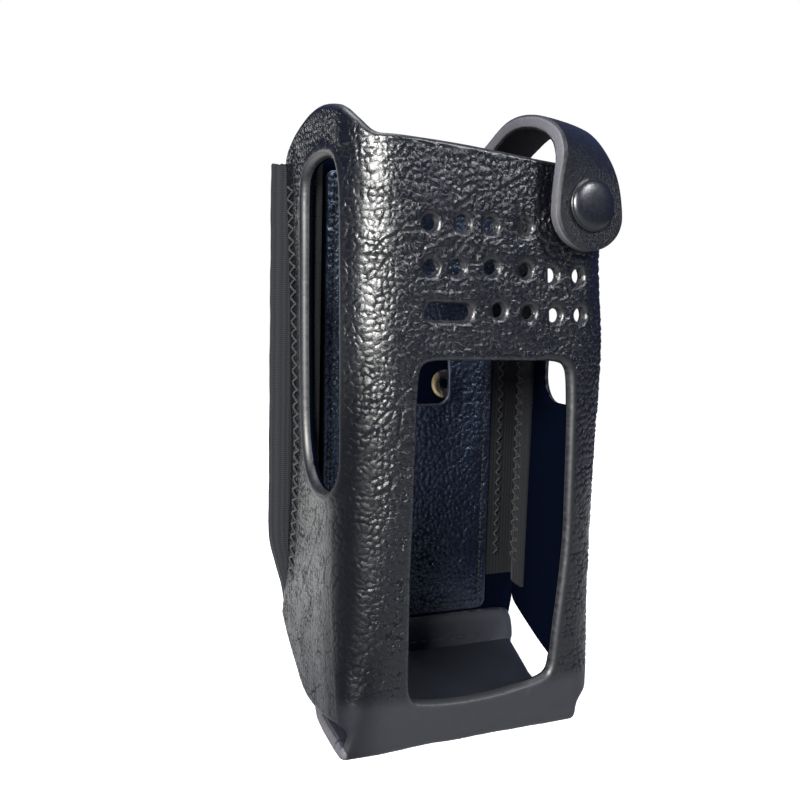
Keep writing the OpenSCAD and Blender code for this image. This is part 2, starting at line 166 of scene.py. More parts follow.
class Grain:
    """Pebbled leather: flat-topped cells between creases, and longer creases that run
    slantwise across them. Mesh points are drawn onto the creases, which keeps them sharp."""

    def __init__(self, size, seed, shift=0.0, stretch=1.0, wall=False, turn=-0.62,
                 long_size=(12.5, 4.6), long_share=0.46):
        self.size, self.seed, self.shift, self.stretch = size, seed, shift, stretch
        self.wall, self.turn = wall, turn
        self.long_size, self.long_share = long_size, long_share

    def cell(self, u, v):
        """Distance to the cell's border, direction to it, cell number, offset in the cell."""
        squeeze, warped = 1.0, u
        if self.wall:     # wide cells round the left corner, narrow ones on the wall behind it
            warped = np.where(u > -29, u, np.where(u > -46, -29 + (u + 29) * 0.66,
                                                   -40.22 + (u + 46) * 1.2))
            squeeze = np.where(u > -29, 1.0, np.where(u > -46, 0.66, 1.2))
        moved, seed, tall = u + self.shift, self.seed, self.size * self.stretch
        x = ((warped + self.shift) / self.size
             + 0.75 * (noise(moved / 3.1, v / 3.1, seed + 2) - 0.5)
             + 0.26 * (noise(moved / 0.9, v / 0.9, seed + 21) - 0.5))
        y = (v / tall
             + 0.75 * (noise(moved / 3.1 + 40, v / 3.1, seed + 3) - 0.5)
             + 0.26 * (noise(moved / 0.9 + 40, v / 0.9, seed + 22) - 0.5))
        dist, ex, ey, number, off_x, off_y = nearest_cell(x, y, seed)
        du, dv = ex * squeeze / self.size, ey / tall
        slope = np.hypot(du, dv)
        return dist / slope, du / slope, dv / slope, number, off_x, off_y

    def long(self, u, v):
        """Distance to the nearest long crease, direction to it, and how marked it is."""
        cos, sin = math.cos(self.turn), math.sin(self.turn)
        a, b = (u + self.shift) * cos - v * sin, (u + self.shift) * sin + v * cos
        seed = self.seed + 40
        length, width = self.long_size
        warp_a = a + 3.4 * (noise(a / 8, b / 8, seed) - 0.5)
        warp_b = (b + 3.6 * (noise(a / 6 + 9, b / 6, seed + 1) - 0.5)
                  + 0.9 * (noise(a / 1.7 + 9, b / 1.7, seed + 3) - 0.5))
        dist, ex, ey, *_ = nearest_cell(warp_a / length, warp_b / width, seed + 2)
        da, db = ex / length, ey / width
        slope = np.hypot(da, db)
        share = rise(self.long_share, self.long_share + 0.16, noise(a / 7, b / 7, seed + 4))
        da, db = da / slope, db / slope
        return dist / slope, da * cos + db * sin, -da * sin + db * cos, share

    def snap(self, points, reach):
        """Moves the points within reach of a crease onto it, long creases first."""
        points = points.copy()
        dist, _, _, share = self.long(points[:, 0], points[:, 1])
        on_long = (dist < reach) & (share > 0.08)
        on_cell = ~on_long & (self.cell(points[:, 0], points[:, 1])[0] < reach)
        for on, crease in ((on_long, self.long), (on_cell, self.cell)):
            for _ in range(3):
                dist, du, dv = crease(points[on, 0], points[on, 1])[:3]
                dist = np.minimum(dist, reach)
                points[on] += columns(dist * du, dist * dv)
        return points

    def relief(self, u, v):
        """Height -1..0.5, distance to the nearest crease, and that crease's weight."""
        dist, _, _, number, off_x, off_y = self.cell(u, v)
        patches = noise((u + self.shift) / 2.3, v / 2.3, self.seed + 7)
        depth = 0.40 + 0.60 * rise(0.30, 0.60, patches)
        dome = 1 - (1 - np.clip(dist / (0.36 * self.size), 0, 1)) ** 2.2
        tilt_x, tilt_y = (number * 57.31) % 1 - 0.5, (number * 91.7) % 1 - 0.5
        uneven = 1 + 0.45 * (number - 0.5) + 1.15 * (tilt_x * off_x + tilt_y * off_y)
        height = depth * dome * uneven + (1 - depth) * 0.8 - 1
        far, _, _, share = self.long(u, v)
        # a long crease is a groove with a low ridge beside it
        height = height - share * (0.85 * bell(far, 0.30, 1.5) - 0.62 * bell(far - 0.66, 0.34))
        on_long = (far - 0.12 * share < dist) & (share > 0.05)
        crease = np.where(on_long, far, dist)
        weight = np.where(on_long, np.maximum(share, depth * (dist < 0.2)), depth)
        return height, np.clip(crease, 0, 2), weight


# ---------------------------------------------------------------- outlines
def chaikin(points, passes, closed=True):
    """Cuts every corner at a quarter of its sides, the given number of times."""
    points = np.asarray(points, float)
    for _ in range(passes):
        after = np.roll(points, -1, 0) if closed else points[1:]
        here = points if closed else points[:-1]
        cut = np.empty((len(here) * 2, points.shape[1]))
        cut[0::2] = 0.75 * here + 0.25 * after
        cut[1::2] = 0.25 * here + 0.75 * after
        points = cut if closed else np.vstack([points[:1], cut, points[-1:]])
    return points


def resample(points, spacing, closed=True):
    points = np.asarray(points, float)
    path = np.vstack([points, points[:1]]) if closed else points
    stations = arc_length(path)
    count = max(8 if closed else 2, int(round(stations[-1] / spacing)))
    at = np.linspace(0, stations[-1], count + 1)
    return interp_rows(at[:-1] if closed else at, stations, path)


def soft_loop(points, spacing):
    return resample(chaikin(points, 2), spacing)


def circle(cx, cy, radius, count):
    angle = np.arange(count) / count * 2 * math.pi
    return columns(cx + radius * np.cos(angle), cy + radius * np.sin(angle))


def rounded_rect(x0, y0, x1, y1, radius, steps=8):
    """Anticlockwise, from the right side's upper corner."""
    r = radius
    corners = ((x1 - r, y1 - r), (x0 + r, y1 - r), (x0 + r, y0 + r), (x1 - r, y0 + r))
    points = []
    for quarter, (cx, cy) in enumerate(corners):
        for i in range(steps + 1):
            angle = math.radians(90 * quarter + 90 * i / steps)
            points.append((cx + r * math.cos(angle), cy + r * math.sin(angle)))
    return np.array(points)


class Region:
    """Inside test and distance to the outline for a set of loops in pattern space."""
    CELL = 0.1

    def __init__(self, loops):
        start = np.vstack(loops)
        end = np.vstack([np.roll(loop, -1, 0) for loop in loops])
        self.low = start.min(0) - 1
        nx, ny = np.ceil((start.max(0) + 1 - self.low) / self.CELL).astype(int)
        self.mask = np.zeros((ny, nx), bool)
        xs = self.low[0] + (np.arange(nx) + 0.5) * self.CELL
        for j in range(ny):
            y = self.low[1] + (j + 0.5) * self.CELL
            k = (start[:, 1] > y) != (end[:, 1] > y)
            if k.any():
                a, b = start[k], end[k]
                x = a[:, 0] + (y - a[:, 1]) / (b[:, 1] - a[:, 1]) * (b[:, 0] - a[:, 0])
                self.mask[j] = np.searchsorted(np.sort(x), xs) % 2 == 1
        dense = [resample(loop, 0.12) for loop in loops]
        self.loop_of = np.repeat(np.arange(len(loops)), [len(loop) for loop in dense])
        self.tree = kdtree.KDTree(len(self.loop_of))
        for i, (x, y) in enumerate(np.vstack(dense)):
            self.tree.insert((x, y, 0), i)
        self.tree.balance()

    def inside(self, points):
        cell = np.floor((points - self.low) / self.CELL).astype(int)
        column = np.clip(cell[:, 0], 0, self.mask.shape[1] - 1)
        row = np.clip(cell[:, 1], 0, self.mask.shape[0] - 1)
        return self.mask[row, column]

    def distance(self, points):
        """Distance to the outline, and the number of the nearest loop."""
        dist = np.empty(len(points))
        nearest = np.empty(len(points), int)
        for i, (x, y) in enumerate(points.tolist()):
            _, nearest[i], dist[i] = self.tree.find((x, y, 0))
        return dist, self.loop_of[nearest]


def fill(loops, region, step, rings, grain=None):
    """Points and triangles that fill the loops: the outline, rings just inside it, and an
    even field. Also returns how many of the points, the first ones, are the outline."""
    parts = [np.vstack(loops)]
    count = len(parts[0])
    for loop in loops:
        tangent = unit(np.roll(loop, -1, 0) - np.roll(loop, 1, 0))
        inward = columns(-tangent[:, 1], tangent[:, 0])
        if region.inside(loop + 0.3 * inward).mean() < 0.5:
            inward = -inward
        for i, depth in enumerate(rings):
            ring = loop if i % 2 == 0 else 0.5 * (loop + np.roll(loop, -1, 0))
            ring = ring + inward * depth
            ring = ring[region.inside(ring)]
            parts.append(ring[region.distance(ring)[0] > depth * 0.9])
    low, high = parts[0].min(0), parts[0].max(0)
    ys = np.arange(low[1], high[1], step * 0.866)
    X, Y = np.meshgrid(np.arange(low[0], high[0], step), ys)
    X = X + (np.arange(len(ys)) % 2)[:, None] * step / 2
    field = columns(X.ravel(), Y.ravel())
    jitter = columns(*(hash01(field[:, 0], field[:, 1], seed) for seed in (3, 4)))
    field = field + (jitter - 0.5) * step * 0.15
    field = field[region.inside(field)]
    clear = rings[-1] + step * 0.55
    field = field[region.distance(field)[0] > clear]
    if grain is not None:
        field = grain.snap(field, step * 0.56)
        # one point at most in each small square
        square = np.floor(field / (step * 0.26)).astype(np.int64) @ np.array([1, 1000003])
        _, single = np.unique(square, return_index=True)
        field = field[np.sort(single)]
        field = field[region.inside(field)]
        field = field[region.distance(field)[0] > clear - step * 0.45]
    points = np.vstack(parts + [field])
    edges, start = [], 0
    for loop in loops:
        size = len(loop)
        edges += [(start + i, start + (i + 1) % size) for i in range(size)]
        start += size
    found, _, tris, origins, _, _ = delaunay_2d_cdt(
        [Vector(point) for point in points.tolist()], edges, [], 0, 1e-6, True)
    found = np.array([(point.x, point.y) for point in found])
    tris = np.array([tri for tri in tris if len(tri) == 3], int)
    tris = tris[region.inside(found[tris].mean(1))]
    # keep only the vertices that are used, outline first and in its order
    new_index = np.full(len(points), -1)
    for new, olds in enumerate(origins):
        new_index[list(olds)] = new
    first = new_index[:count]
    sequence = np.concatenate([first, np.setdiff1d(np.unique(tris), first)])
    back = np.full(len(found), -1)
    back[sequence] = np.arange(len(sequence))
    return found[sequence], back[tris], count


# ---------------------------------------------------------------- faces and meshes
def face_along(points, normals, tris):
    """Turns the triangles so that they face along the normals."""
    a, b, c = (points[tris[:, i]] for i in range(3))
    wrong = np.einsum("ij,ij->i", np.cross(b - a, c - a), normals[tris[:, 0]]) < 0
    tris = tris.copy()
    tris[wrong] = tris[wrong][:, ::-1]
    return tris


def rim_quads(loops, tris, offset):
    """Quads that join the outline of a front face to that of a back face offset behind it."""
    used = {(t[i], t[(i + 1) % 3]) for t in tris.tolist() for i in range(3)}
    quads, start = [], 0
    for loop in loops:
        size = len(loop)
        for i in range(size):
            a, b = start + i, start + (i + 1) % size
            if (a, b) in used:
                a, b = b, a
            quads.append((a, b, offset + b, offset + a))
        start += size
    return np.array(quads)


def grid_quads(index):
    return columns(index[:-1, :-1], index[:-1, 1:], index[1:, 1:], index[1:, :-1]).reshape(-1, 4)


def ring_quads(index):
    """Quads between rows of points that each close into a ring."""
    after = np.roll(index, -1, 1)
    return columns(index[:-1], after[:-1], after[1:], index[1:]).reshape(-1, 4)


def make(name, vertices, faces, materials, face_materials=None, attributes=None):
    """Smooth-shaded mesh object from millimetre points and arrays of equal-sided faces."""
    mesh = bpy.data.meshes.new(name)
    faces = [np.asarray(group, int) for group in faces if len(group)]
    corners = np.concatenate([group.ravel() for group in faces])
    sizes = np.concatenate([np.full(len(group), group.shape[1]) for group in faces])
    starts = np.concatenate([[0], np.cumsum(sizes)[:-1]])
    mesh.vertices.add(len(vertices))
    metres = (np.asarray(vertices) / 1000).astype(np.float32)
    mesh.vertices.foreach_set("co", metres.ravel())
    mesh.loops.add(len(corners))
    mesh.loops.foreach_set("vertex_index", corners.astype(np.int32))
    mesh.polygons.add(len(sizes))
    mesh.polygons.foreach_set("loop_start", starts.astype(np.int32))
    for material in materials:
        mesh.materials.append(material)
    if face_materials is not None:
        mesh.polygons.foreach_set("material_index", np.asarray(face_materials, np.int32))
    mesh.update(calc_edges=True)
    mesh.validate()
    mesh.polygons.foreach_set("use_smooth", np.full(len(mesh.polygons), True))
    for key, values in (attributes or {}).items():
        values = np.asarray(values, np.float32)
        kind, field = ("FLOAT_VECTOR", "vector") if values.ndim == 2 else ("FLOAT", "value")
        mesh.attributes.new(key, kind, "POINT").data.foreach_set(field, values.ravel())
    part = bpy.data.objects.new(name, mesh)
    bpy.context.scene.collection.objects.link(part)
    return part


def register(part, slot, *nodes, body="case"):
    if nodes:
        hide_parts(*nodes)
    if body:
        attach(part, body)


def mark_sharp(part, degrees):
    """Marks edges sharper than the angle as sharp."""
    mesh = bmesh.new()
    mesh.from_mesh(part.data)
    for edge in mesh.edges:
        if len(edge.link_faces) == 2 and all(f.normal.length > 0 for f in edge.link_faces):
            edge.smooth = edge.calc_face_angle(0) < math.radians(degrees)
    mesh.to_mesh(part.data)
    mesh.free()


def sheet(name, loops, place, thickness, edge_radii, relief, grain, step, back_step,
          top=None, rings=(0.07, 0.24, 0.5, 0.85, 1.25), radius_at=None):
    """A closed sheet of leather: grain side on the map's surface, flesh side behind it.
    edge_radii rounds the edges, one value per loop; radius_at may vary it over the sheet."""
    region = Region(loops)
    radii = np.asarray(edge_radii, float)

    def surface(*filling):
        uv, tris, count = fill(loops, region, *filling)
        edge, loop = region.distance(uv)
        edge[:count] = 0
        u, v = uv[:, 0], uv[:, 1]
        radius = radii[loop]
        if radius_at is not None:
            radius = radius_at(u, v, loop, radius)
        inner = np.clip(1 - edge / radius, 0, 1)
        rounding = radius * (1 - np.sqrt(np.maximum(0, 1 - inner * inner)))
        return (u, v, edge, loop), rounding, tris, *place(u, v)

    front, rounding, tris, points, normals = surface(step, rings, grain)
    height, values = relief(*front)
    points = points + normals * (-rounding + height)[:, None]
    tris = face_along(points, normals, tris)
    back, rounding, back_tris, back_points, normals = surface(back_step, (0.3, 0.9))
    u, v, edge, _ = back
    fibres = (fractal(u / 2.2, v / 2.2, 51, 2) - 0.5) * 0.12 * rise(0.3, 2, edge)
    back_points = back_points + normals * (-thickness + rounding - fibres)[:, None]
    back_tris = face_along(back_points, -normals, back_tris) + len(points)

    rim = rim_quads(loops, tris, len(points))
    attributes = {"pat": np.vstack([columns(front[0], front[1], 0.0), columns(u, v, 50.0)]),
                  "edge": np.concatenate([front[2], edge])}
    for key, value in values.items():
        on_back = {"cd": 2.0, "smooth": 1.0}.get(key, 0.0)
        attributes[key] = np.concatenate([value, np.full(len(u), on_back)])
    return make(name, np.vstack([points, back_points]), [np.vstack([tris, back_tris]), rim],
                [top or GRAIN, FLESH, RIM],
                np.repeat([0, 1, 2], [len(tris), len(back_tris), len(rim)]), attributes)


def lathes(name, pieces, material, sides, sharp_angle=35):
    """One object from turned pieces, each (profile, origin, axis). A profile lists
    (radius, height along the axis), and is closed on itself if it stays off the axis."""
    vertices, quads, tris = [], [], []
    for profile, origin, axis in pieces:
        axis = np.asarray(axis, float)
        side1 = unit(np.cross(axis, [0.0, 0.0, 1.0]))
        side2 = np.cross(axis, side1)
        points, rows = [], []
        for radius, height in profile:
            count = 1 if radius < 1e-6 else sides
            rows.append(len(points) + np.arange(count))
            angle = 2 * math.pi * np.arange(count)[:, None] / count
            spoke = np.cos(angle) * side1 + np.sin(angle) * side2
            points += list(axis * height + radius * spoke)
        if len(rows[0]) > 1 and len(rows[-1]) > 1:
            rows.append(rows[0])
        new_quads, new_tris = [], []
        for low, high in zip(rows, rows[1:]):
            low2, high2 = np.roll(low, -1), np.roll(high, -1)
            if len(low) == len(high) == 1:
                continue
            if len(low) == 1:
                new_tris += list(columns(low, high2, high))
            elif len(high) == 1:
                new_tris += list(columns(low, low2, high))
            else:
                new_quads += list(columns(low, low2, high2, high))
        points = np.array(points)
        halves = [q[[0, 1, 2]] for q in new_quads] + [q[[0, 2, 3]] for q in new_quads]
        a, b, c = points[np.array(new_tris + halves)].transpose(1, 0, 2)
        order = -1 if np.einsum("ij,ij->i", a, np.cross(b, c)).sum() < 0 else 1
        quads += [face[::order] + len(vertices) for face in new_quads]
        tris += [face[::order] + len(vertices) for face in new_tris]
        vertices += list(points + np.asarray(origin, float))
    part = make(name, vertices, [quads, tris], [material])
    mark_sharp(part, sharp_angle)
    return part


def tubes(name, lines, radius, material, sides=8):
    """Round tubes along point lists, their ends drawn in."""
    vertices, pattern, quads, tris = [], [], [], []
    for line in lines:
        tangent = unit(np.gradient(line, axis=0))
        reference = (0.0, 0.0, 1.0) if abs(tangent[0][2]) < 0.9 else (0.0, 1.0, 0.0)
        across = unit(np.cross(tangent, reference))
        other = np.cross(tangent, across)
        along = arc_length(line)
        from_end = np.minimum(1, np.minimum(along, along[-1] - along) / (radius * 1.2))
        taper = radius * (0.35 + 0.65 * np.sqrt(np.maximum(0, 1 - (1 - from_end) ** 2)))
        turn = np.arange(sides)
        angle = (2 * math.pi * turn / sides + along[:, None] * 1.5)[..., None]
        spoke = np.cos(angle) * across[:, None] + np.sin(angle) * other[:, None]
        rings = line[:, None] + taper[:, None, None] * spoke
        index = len(vertices) + np.arange(len(line) * sides).reshape(-1, sides)
        tip = len(vertices) + index.size
        vertices += [*rings.reshape(-1, 3), line[0], line[-1]]
        pattern += [*columns(turn / sides * 6.283 * radius, along[:, None], 0).reshape(-1, 3),
                    (0, 0, 0), (0, along[-1], 0)]
        quads.append(ring_quads(index))
        after = np.roll(index, -1, 1)
        tris += [columns(tip, after[0], index[0]), columns(tip + 1, index[-1], after[-1])]
    return make(name, vertices, [np.vstack(quads), np.vstack(tris)], [material],
                attributes={"pat": np.array(pattern)})


def plate(name, loops, y0, y1, bevel, material):
    """Flat plate in the x-z plane with bevelled edges; the loops after the first are holes."""
    region = Region(loops)
    flat, tris, count = fill(loops, region, 2.2, (bevel,))
    edge, _ = region.distance(flat)
    edge[:count] = 0
    depth = np.clip(bevel - edge, 0, bevel)
    rear = columns(flat[:, 0], y1 - depth, flat[:, 1])
    front = columns(flat[:, 0], y0 + depth, flat[:, 1])
    backward = np.tile([0.0, 1.0, 0.0], (len(flat), 1))
    rear_tris = face_along(rear, backward, tris)
    front_tris = face_along(front, -backward, tris) + len(rear)
    part = make(name, np.vstack([rear, front]),
                [np.vstack([rear_tris, front_tris]), rim_quads(loops, rear_tris, len(rear))],
                [material])
    mark_sharp(part, 30)
    return part


# ---------------------------------------------------------------- shader helper
class Shader:
    """A material's node tree, with one short call per node."""

    def __init__(self, name):
        self.material = bpy.data.materials.new(name)
        self.material.use_nodes = True
        self.tree = self.material.node_tree
        self.tree.nodes.clear()
        output = self.node("OutputMaterial")
        self.surface = self.node("BsdfPrincipled")
        self.tree.links.new(self.surface.outputs[0], output.inputs[0])

    def put(self, socket, value):
        if isinstance(value, bpy.types.NodeSocket):
            self.tree.links.new(value, socket)
        elif value is not None:
            if isinstance(value, tuple) and socket.type == "RGBA":
                value = (*value, 1)
            socket.default_value = value

    def node(self, kind, inputs=None, **settings):
        node = self.tree.nodes.new("ShaderNode" + kind)
        for key, value in settings.items():
            setattr(node, key, value)
        for socket, value in (inputs or {}).items():
            self.put(node.inputs[socket], value)
        return node

    def attribute(self, name, output="Fac"):
        return self.node("Attribute", attribute_name=name).outputs[output]

    def object_mm(self):
        return self.vector_mul(self.node("TexCoord").outputs["Object"], (1000, 1000, 1000))

    def vector_mul(self, a, b):
        return self.node("VectorMath", {0: a, 1: b}, operation="MULTIPLY").outputs[0]

    def vector_add(self, a, b):
        return self.node("VectorMath", {0: a, 1: b}, operation="ADD").outputs[0]

    def component(self, vector, index):
        return self.node("SeparateXYZ", {0: vector}).outputs[index]

    def noise(self, vector, scale, detail, roughness, output="Fac"):
        inputs = {"Vector": vector, "Scale": scale, "Detail": detail, "Roughness": roughness}
        return self.node("TexNoise", inputs).outputs[output]

    def cell_edges(self, vector, scale):
        return self.node("TexVoronoi", {"Vector": vector, "Scale": scale},
                         feature="DISTANCE_TO_EDGE").outputs["Distance"]

    def wave(self, vector, direction, scale, distortion, detail):
        inputs = {"Vector": vector, "Scale": scale, "Distortion": distortion, "Detail": detail}
        return self.node("TexWave", inputs, wave_type="BANDS", bands_direction=direction,
                         wave_profile="SIN").outputs["Fac"]

    def math(self, operation, a, b=0.0, clamp=False):
        return self.node("Math", {0: a, 1: b}, operation=operation, use_clamp=clamp).outputs[0]

    def add(self, a, b):
        return self.math("ADD", a, b)

    def sub(self, a, b, clamp=False):
        return self.math("SUBTRACT", a, b, clamp)

    def mul(self, a, b, clamp=False):
        return self.math("MULTIPLY", a, b, clamp)

    def plus(self, base, value, times):
        return self.add(base, self.mul(value, times))

    def remap(self, value, over, to=(0.0, 1.0)):
        inputs = dict(enumerate((value, *over, *to)))
        node = self.node("MapRange", inputs)
        node.clamp = True
        return node.outputs[0]

    def ramp(self, value, *stops):
        """Colour ramp; each stop is (position, colour)."""
        node = self.node("ValToRGB", {0: value})
        elements = node.color_ramp.elements
        while len(elements) < len(stops):
            elements.new(0.5)
        for element, (position, colour) in zip(elements, stops):
            element.position = position
            element.color = (*colour, 1)
        return node.outputs[0]

    def mix(self, factor, a, b):
        return self.node("Mix", {0: factor, 6: a, 7: b}, data_type="RGBA").outputs[2]

    def bump(self, height, distance, strength, normal=None):
        return self.node("Bump", {"Strength": strength, "Distance": distance,
                                  "Height": height, "Normal": normal}).outputs[0]

    def finish(self, **inputs):
        for key, value in inputs.items():
            self.put(self.surface.inputs[key.replace("_", " ")], value)
        return self.material


def scaled(colour, factor):
    return tuple(channel * factor for channel in colour)


# ---------------------------------------------------------------- materials
def leather(name, dark, light, roughness, fine=1.0, strip=False, specular=0.5,
            tint=(1.0, 1.0, 1.0)):
    """Grain side. fine scales the small cells; strip adds the smooth strip's own colour."""
    worn_colour = (0.034, 0.034, 0.037)
    strip_colour = (0.0075, 0.0082, 0.0105)
    mat = Shader(name)
    pattern = mat.attribute("pat", "Vector")
    crease = mat.attribute("cd")
    weight = mat.attribute("cw")
    smooth = mat.attribute("smooth")
    edge = mat.attribute("edge")
    broad = mat.noise(pattern, scale=0.11, detail=3, roughness=0.6)
    mottle = mat.noise(pattern, scale=0.9, detail=4, roughness=0.6)
    wobble = mat.noise(pattern, scale=1.7, detail=3, roughness=0.6, output="Color")
    warped = mat.vector_add(pattern, mat.vector_mul(wobble, (0.7, 0.7, 0)))
    cells = mat.cell_edges(warped, scale=1.35)
    small_cells = mat.cell_edges(warped, scale=3.1)
    pores = mat.noise(pattern, scale=9.0, detail=3, roughness=0.6)
    line = mat.mul(mat.remap(crease, over=(0.0, 0.10), to=(1.0, 0.0)), weight)
    groove = mat.mul(mat.remap(crease, over=(0.0, 0.26), to=(1.0, 0.0)), weight)
    cells = mat.remap(cells, over=(0.0, 0.11))
    small_cells = mat.remap(small_cells, over=(0.0, 0.12))
    grained = mat.sub(1.0, smooth, clamp=True)

    # colour: mottled, with painted shade darkening the creases, pale where the edges are rubbed
    tone = mat.plus(mat.mul(broad, 0.55), mottle, times=0.45)
    colour = mat.ramp(tone, (0.30, dark), (0.72, light))
    if strip:
        shade = mat.ramp(mat.noise(pattern, scale=0.5, detail=4, roughness=0.6),
                         (0.3, scaled(strip_colour, 0.85)), (0.7, strip_colour))
        colour = mat.mix(mat.attribute("strip"), colour, shade)
    # painted shade: the creases are darkened towards black
    colour = mat.mix(mat.mul(line, 0.6, clamp=True), colour, scaled(dark, 0.3))
    wear_and_lit_side = mat.mul(mat.remap(edge, over=(0.0, 1.0), to=(1.0, 0.0)),
                   mat.remap(mottle, over=(0.42, 0.62), to=(0.1, 0.55)))
    colour = mat.mix(wear_and_lit_side, colour, worn_colour)

    # gloss: rougher in the creases and on the smooth parts
    rough = mat.plus(roughness, mat.sub(mottle, 0.5), times=0.20)
    rough = mat.plus(rough, line, times=0.35)
    very_smooth = mat.math("MAXIMUM", mat.sub(smooth, 0.55), 0.0)
    rough = mat.plus(rough, very_smooth, times=0.22)
    rough = mat.plus(rough, smooth, times=0.10)
    if strip:
        rough = mat.plus(rough, mat.attribute("strip"), times=0.10)
    shine = mat.sub(specular, mat.mul(line, specular * 0.7), clamp=True)
    dull = mat.attribute("dull")
    shine = mat.mul(shine, mat.sub(1.0, mat.mul(dull, 0.80), clamp=True))
    rough = mat.plus(rough, dull, times=0.06)

    # relief: creases, two sizes of small cell, pores
    normal = mat.bump(mat.mul(groove, -1.0), distance=0.00006, strength=0.8)
    patches = mat.remap(mottle, over=(0.35, 0.6), to=(0.45, 1.0))
    height = mat.mul(cells, mat.mul(grained, patches))
    height = mat.plus(height, small_cells, times=mat.mul(grained, 0.35))
    normal = mat.bump(height, distance=0.000030 * fine, strength=0.7, normal=normal)
    normal = mat.bump(pores, distance=0.000010, strength=0.6, normal=normal)
    return mat.finish(Base_Color=colour, Roughness=rough, Normal=normal,
                      Specular_IOR_Level=shine, Specular_Tint=tint)


def flesh(name, base, light, paint_floor_light=False):
    """Fibrous flesh side. The last argument paints the floor inside the case lighter, as painted
    light falling on it from above, and makes it shinier there.
    """
    mat = Shader(name)
    pattern = mat.attribute("pat", "Vector")
    upright = mat.noise(mat.vector_mul(pattern, (2.2, 0.55, 1)),
                        scale=1.3, detail=5, roughness=0.7)
    level = mat.noise(mat.vector_mul(mat.vector_add(pattern, (31, 7, 0)), (0.7, 2.6, 1)),
                      scale=1.6, detail=5, roughness=0.7)
    specks = mat.noise(pattern, scale=5.5, detail=4, roughness=0.8)
    fibres = mat.plus(mat.mul(upright, 0.5), level, times=0.5)
    colour = mat.ramp(fibres, (0.36, base), (0.60, scaled(base, 1.7)), (0.78, light))
    colour = mat.mix(mat.remap(specks, over=(0.62, 0.74), to=(0.0, 0.55)), colour, light)
    normal = mat.bump(mat.plus(fibres, specks, times=0.7), distance=0.00035, strength=0.8)
    shine, rough = 0.05, 0.93
    if paint_floor_light:
        # painted light: the floor inside the case (low v) gets a lighter colour for the light
        # falling on it from above, and more gloss
        low = mat.remap(mat.component(pattern, 1), over=(-2.0, 3.0), to=(1.0, 0.0))
        painted_floor_light = mat.ramp(fibres, (0.36, (0.0045, 0.0058, 0.0100)), (0.75, (0.013, 0.015, 0.024)))
        colour = mat.mix(low, colour, painted_floor_light)
        shine = mat.remap(low, over=(0.0, 1.0), to=(0.01, 0.42))
        rough = mat.remap(low, over=(0.0, 1.0), to=(0.93, 0.48))
    return mat.finish(Base_Color=colour, Roughness=rough, Normal=normal,
                      Specular_IOR_Level=shine)


def cut_edge(name):
    mat = Shader(name)
    pattern = mat.attribute("pat", "Vector")
    layers = mat.noise(mat.vector_mul(pattern, (1.0, 1.0, 4.5)),
                       scale=1.2, detail=5, roughness=0.65)
    specks = mat.noise(pattern, scale=6.0, detail=4, roughness=0.7)
    colour = mat.ramp(mat.plus(mat.mul(layers, 0.7), specks, times=0.3),
                      (0.32, (0.038, 0.037, 0.043)), (0.68, (0.088, 0.085, 0.098)))
    return mat.finish(Base_Color=colour,
                      Roughness=mat.remap(specks, over=(0.3, 0.7), to=(0.6, 0.85)),
                      Normal=mat.bump(layers, distance=0.00012, strength=0.7),
                      Specular_IOR_Level=0.3)


def webbing(name):
    mat = Shader(name)
    pattern = mat.attribute("pat", "Vector")
    ribs = mat.wave(pattern, "X", scale=0.33, distortion=0.6, detail=1.0)
    rows = mat.wave(pattern, "Y", scale=0.62, distortion=1.2, detail=2.0)
    lint = mat.noise(pattern, scale=3.5, detail=5, roughness=0.75)
    weave = mat.plus(mat.mul(ribs, 0.6), rows, times=0.4)
    colour = mat.ramp(mat.plus(mat.mul(weave, 0.6), lint, times=0.4),
                      (0.2, (0.0018, 0.0021, 0.0032)), (0.8, (0.0075, 0.0080, 0.0105)))
    pale_lint = (0.035, 0.035, 0.042)
    colour = mat.mix(mat.remap(lint, over=(0.70, 0.84), to=(0.0, 0.5)), colour, pale_lint)
    normal = mat.bump(mat.plus(weave, lint, times=0.4), distance=0.00022, strength=0.8)
    return mat.finish(Base_Color=colour, Roughness=0.82, Normal=normal, Sheen_Weight=0.03,
                      Sheen_Roughness=0.4, Specular_IOR_Level=0.25)


def twisted_thread(name):
    base = (0.0030, 0.0032, 0.0042)
    mat = Shader(name)
    pattern = mat.attribute("pat", "Vector")
    around, along = mat.component(pattern, 0), mat.component(pattern, 1)
    ply = mat.math("SINE", mat.plus(mat.mul(along, 9.0), around, times=7.0))
    fuzz = mat.noise(pattern, scale=7.0, detail=3, roughness=0.6)
    height = mat.add(mat.mul(ply, 0.5), fuzz)
    colour = mat.ramp(mat.remap(height, over=(-0.3, 1.2)),
                      (0.1, scaled(base, 0.5)), (0.9, scaled(base, 2.4)))
    return mat.finish(Base_Color=colour, Roughness=0.6, Sheen_Weight=0.08,
                      Normal=mat.bump(height, distance=0.00008, strength=0.8))


def painted(name, base, roughness, bump, wear=(0.10, 0.10, 0.11)):
    """Slightly uneven paint or plastic with faint scratches in the wear colour."""
    mat = Shader(name)
    place = mat.object_mm()
    blotches = mat.noise(place, scale=1.1, detail=4, roughness=0.6)
    texture = mat.noise(place, scale=7.0, detail=3, roughness=0.6)
    scratches = mat.noise(mat.vector_mul(place, (0.5, 3.0, 6.0)),
                          scale=1.6, detail=4, roughness=0.7)
    colour = mat.ramp(blotches, (0.3, scaled(base, 0.8)), (0.7, scaled(base, 1.25)))
    colour = mat.mix(mat.remap(scratches, over=(0.68, 0.78), to=(0.0, 0.3)), colour, wear)
    rough = mat.plus(roughness, mat.sub(blotches, 0.5), times=0.18)
    normal = mat.bump(mat.plus(texture, blotches, times=0.5), distance=bump, strength=0.6)
    return mat.finish(Base_Color=colour, Roughness=rough, Normal=normal)


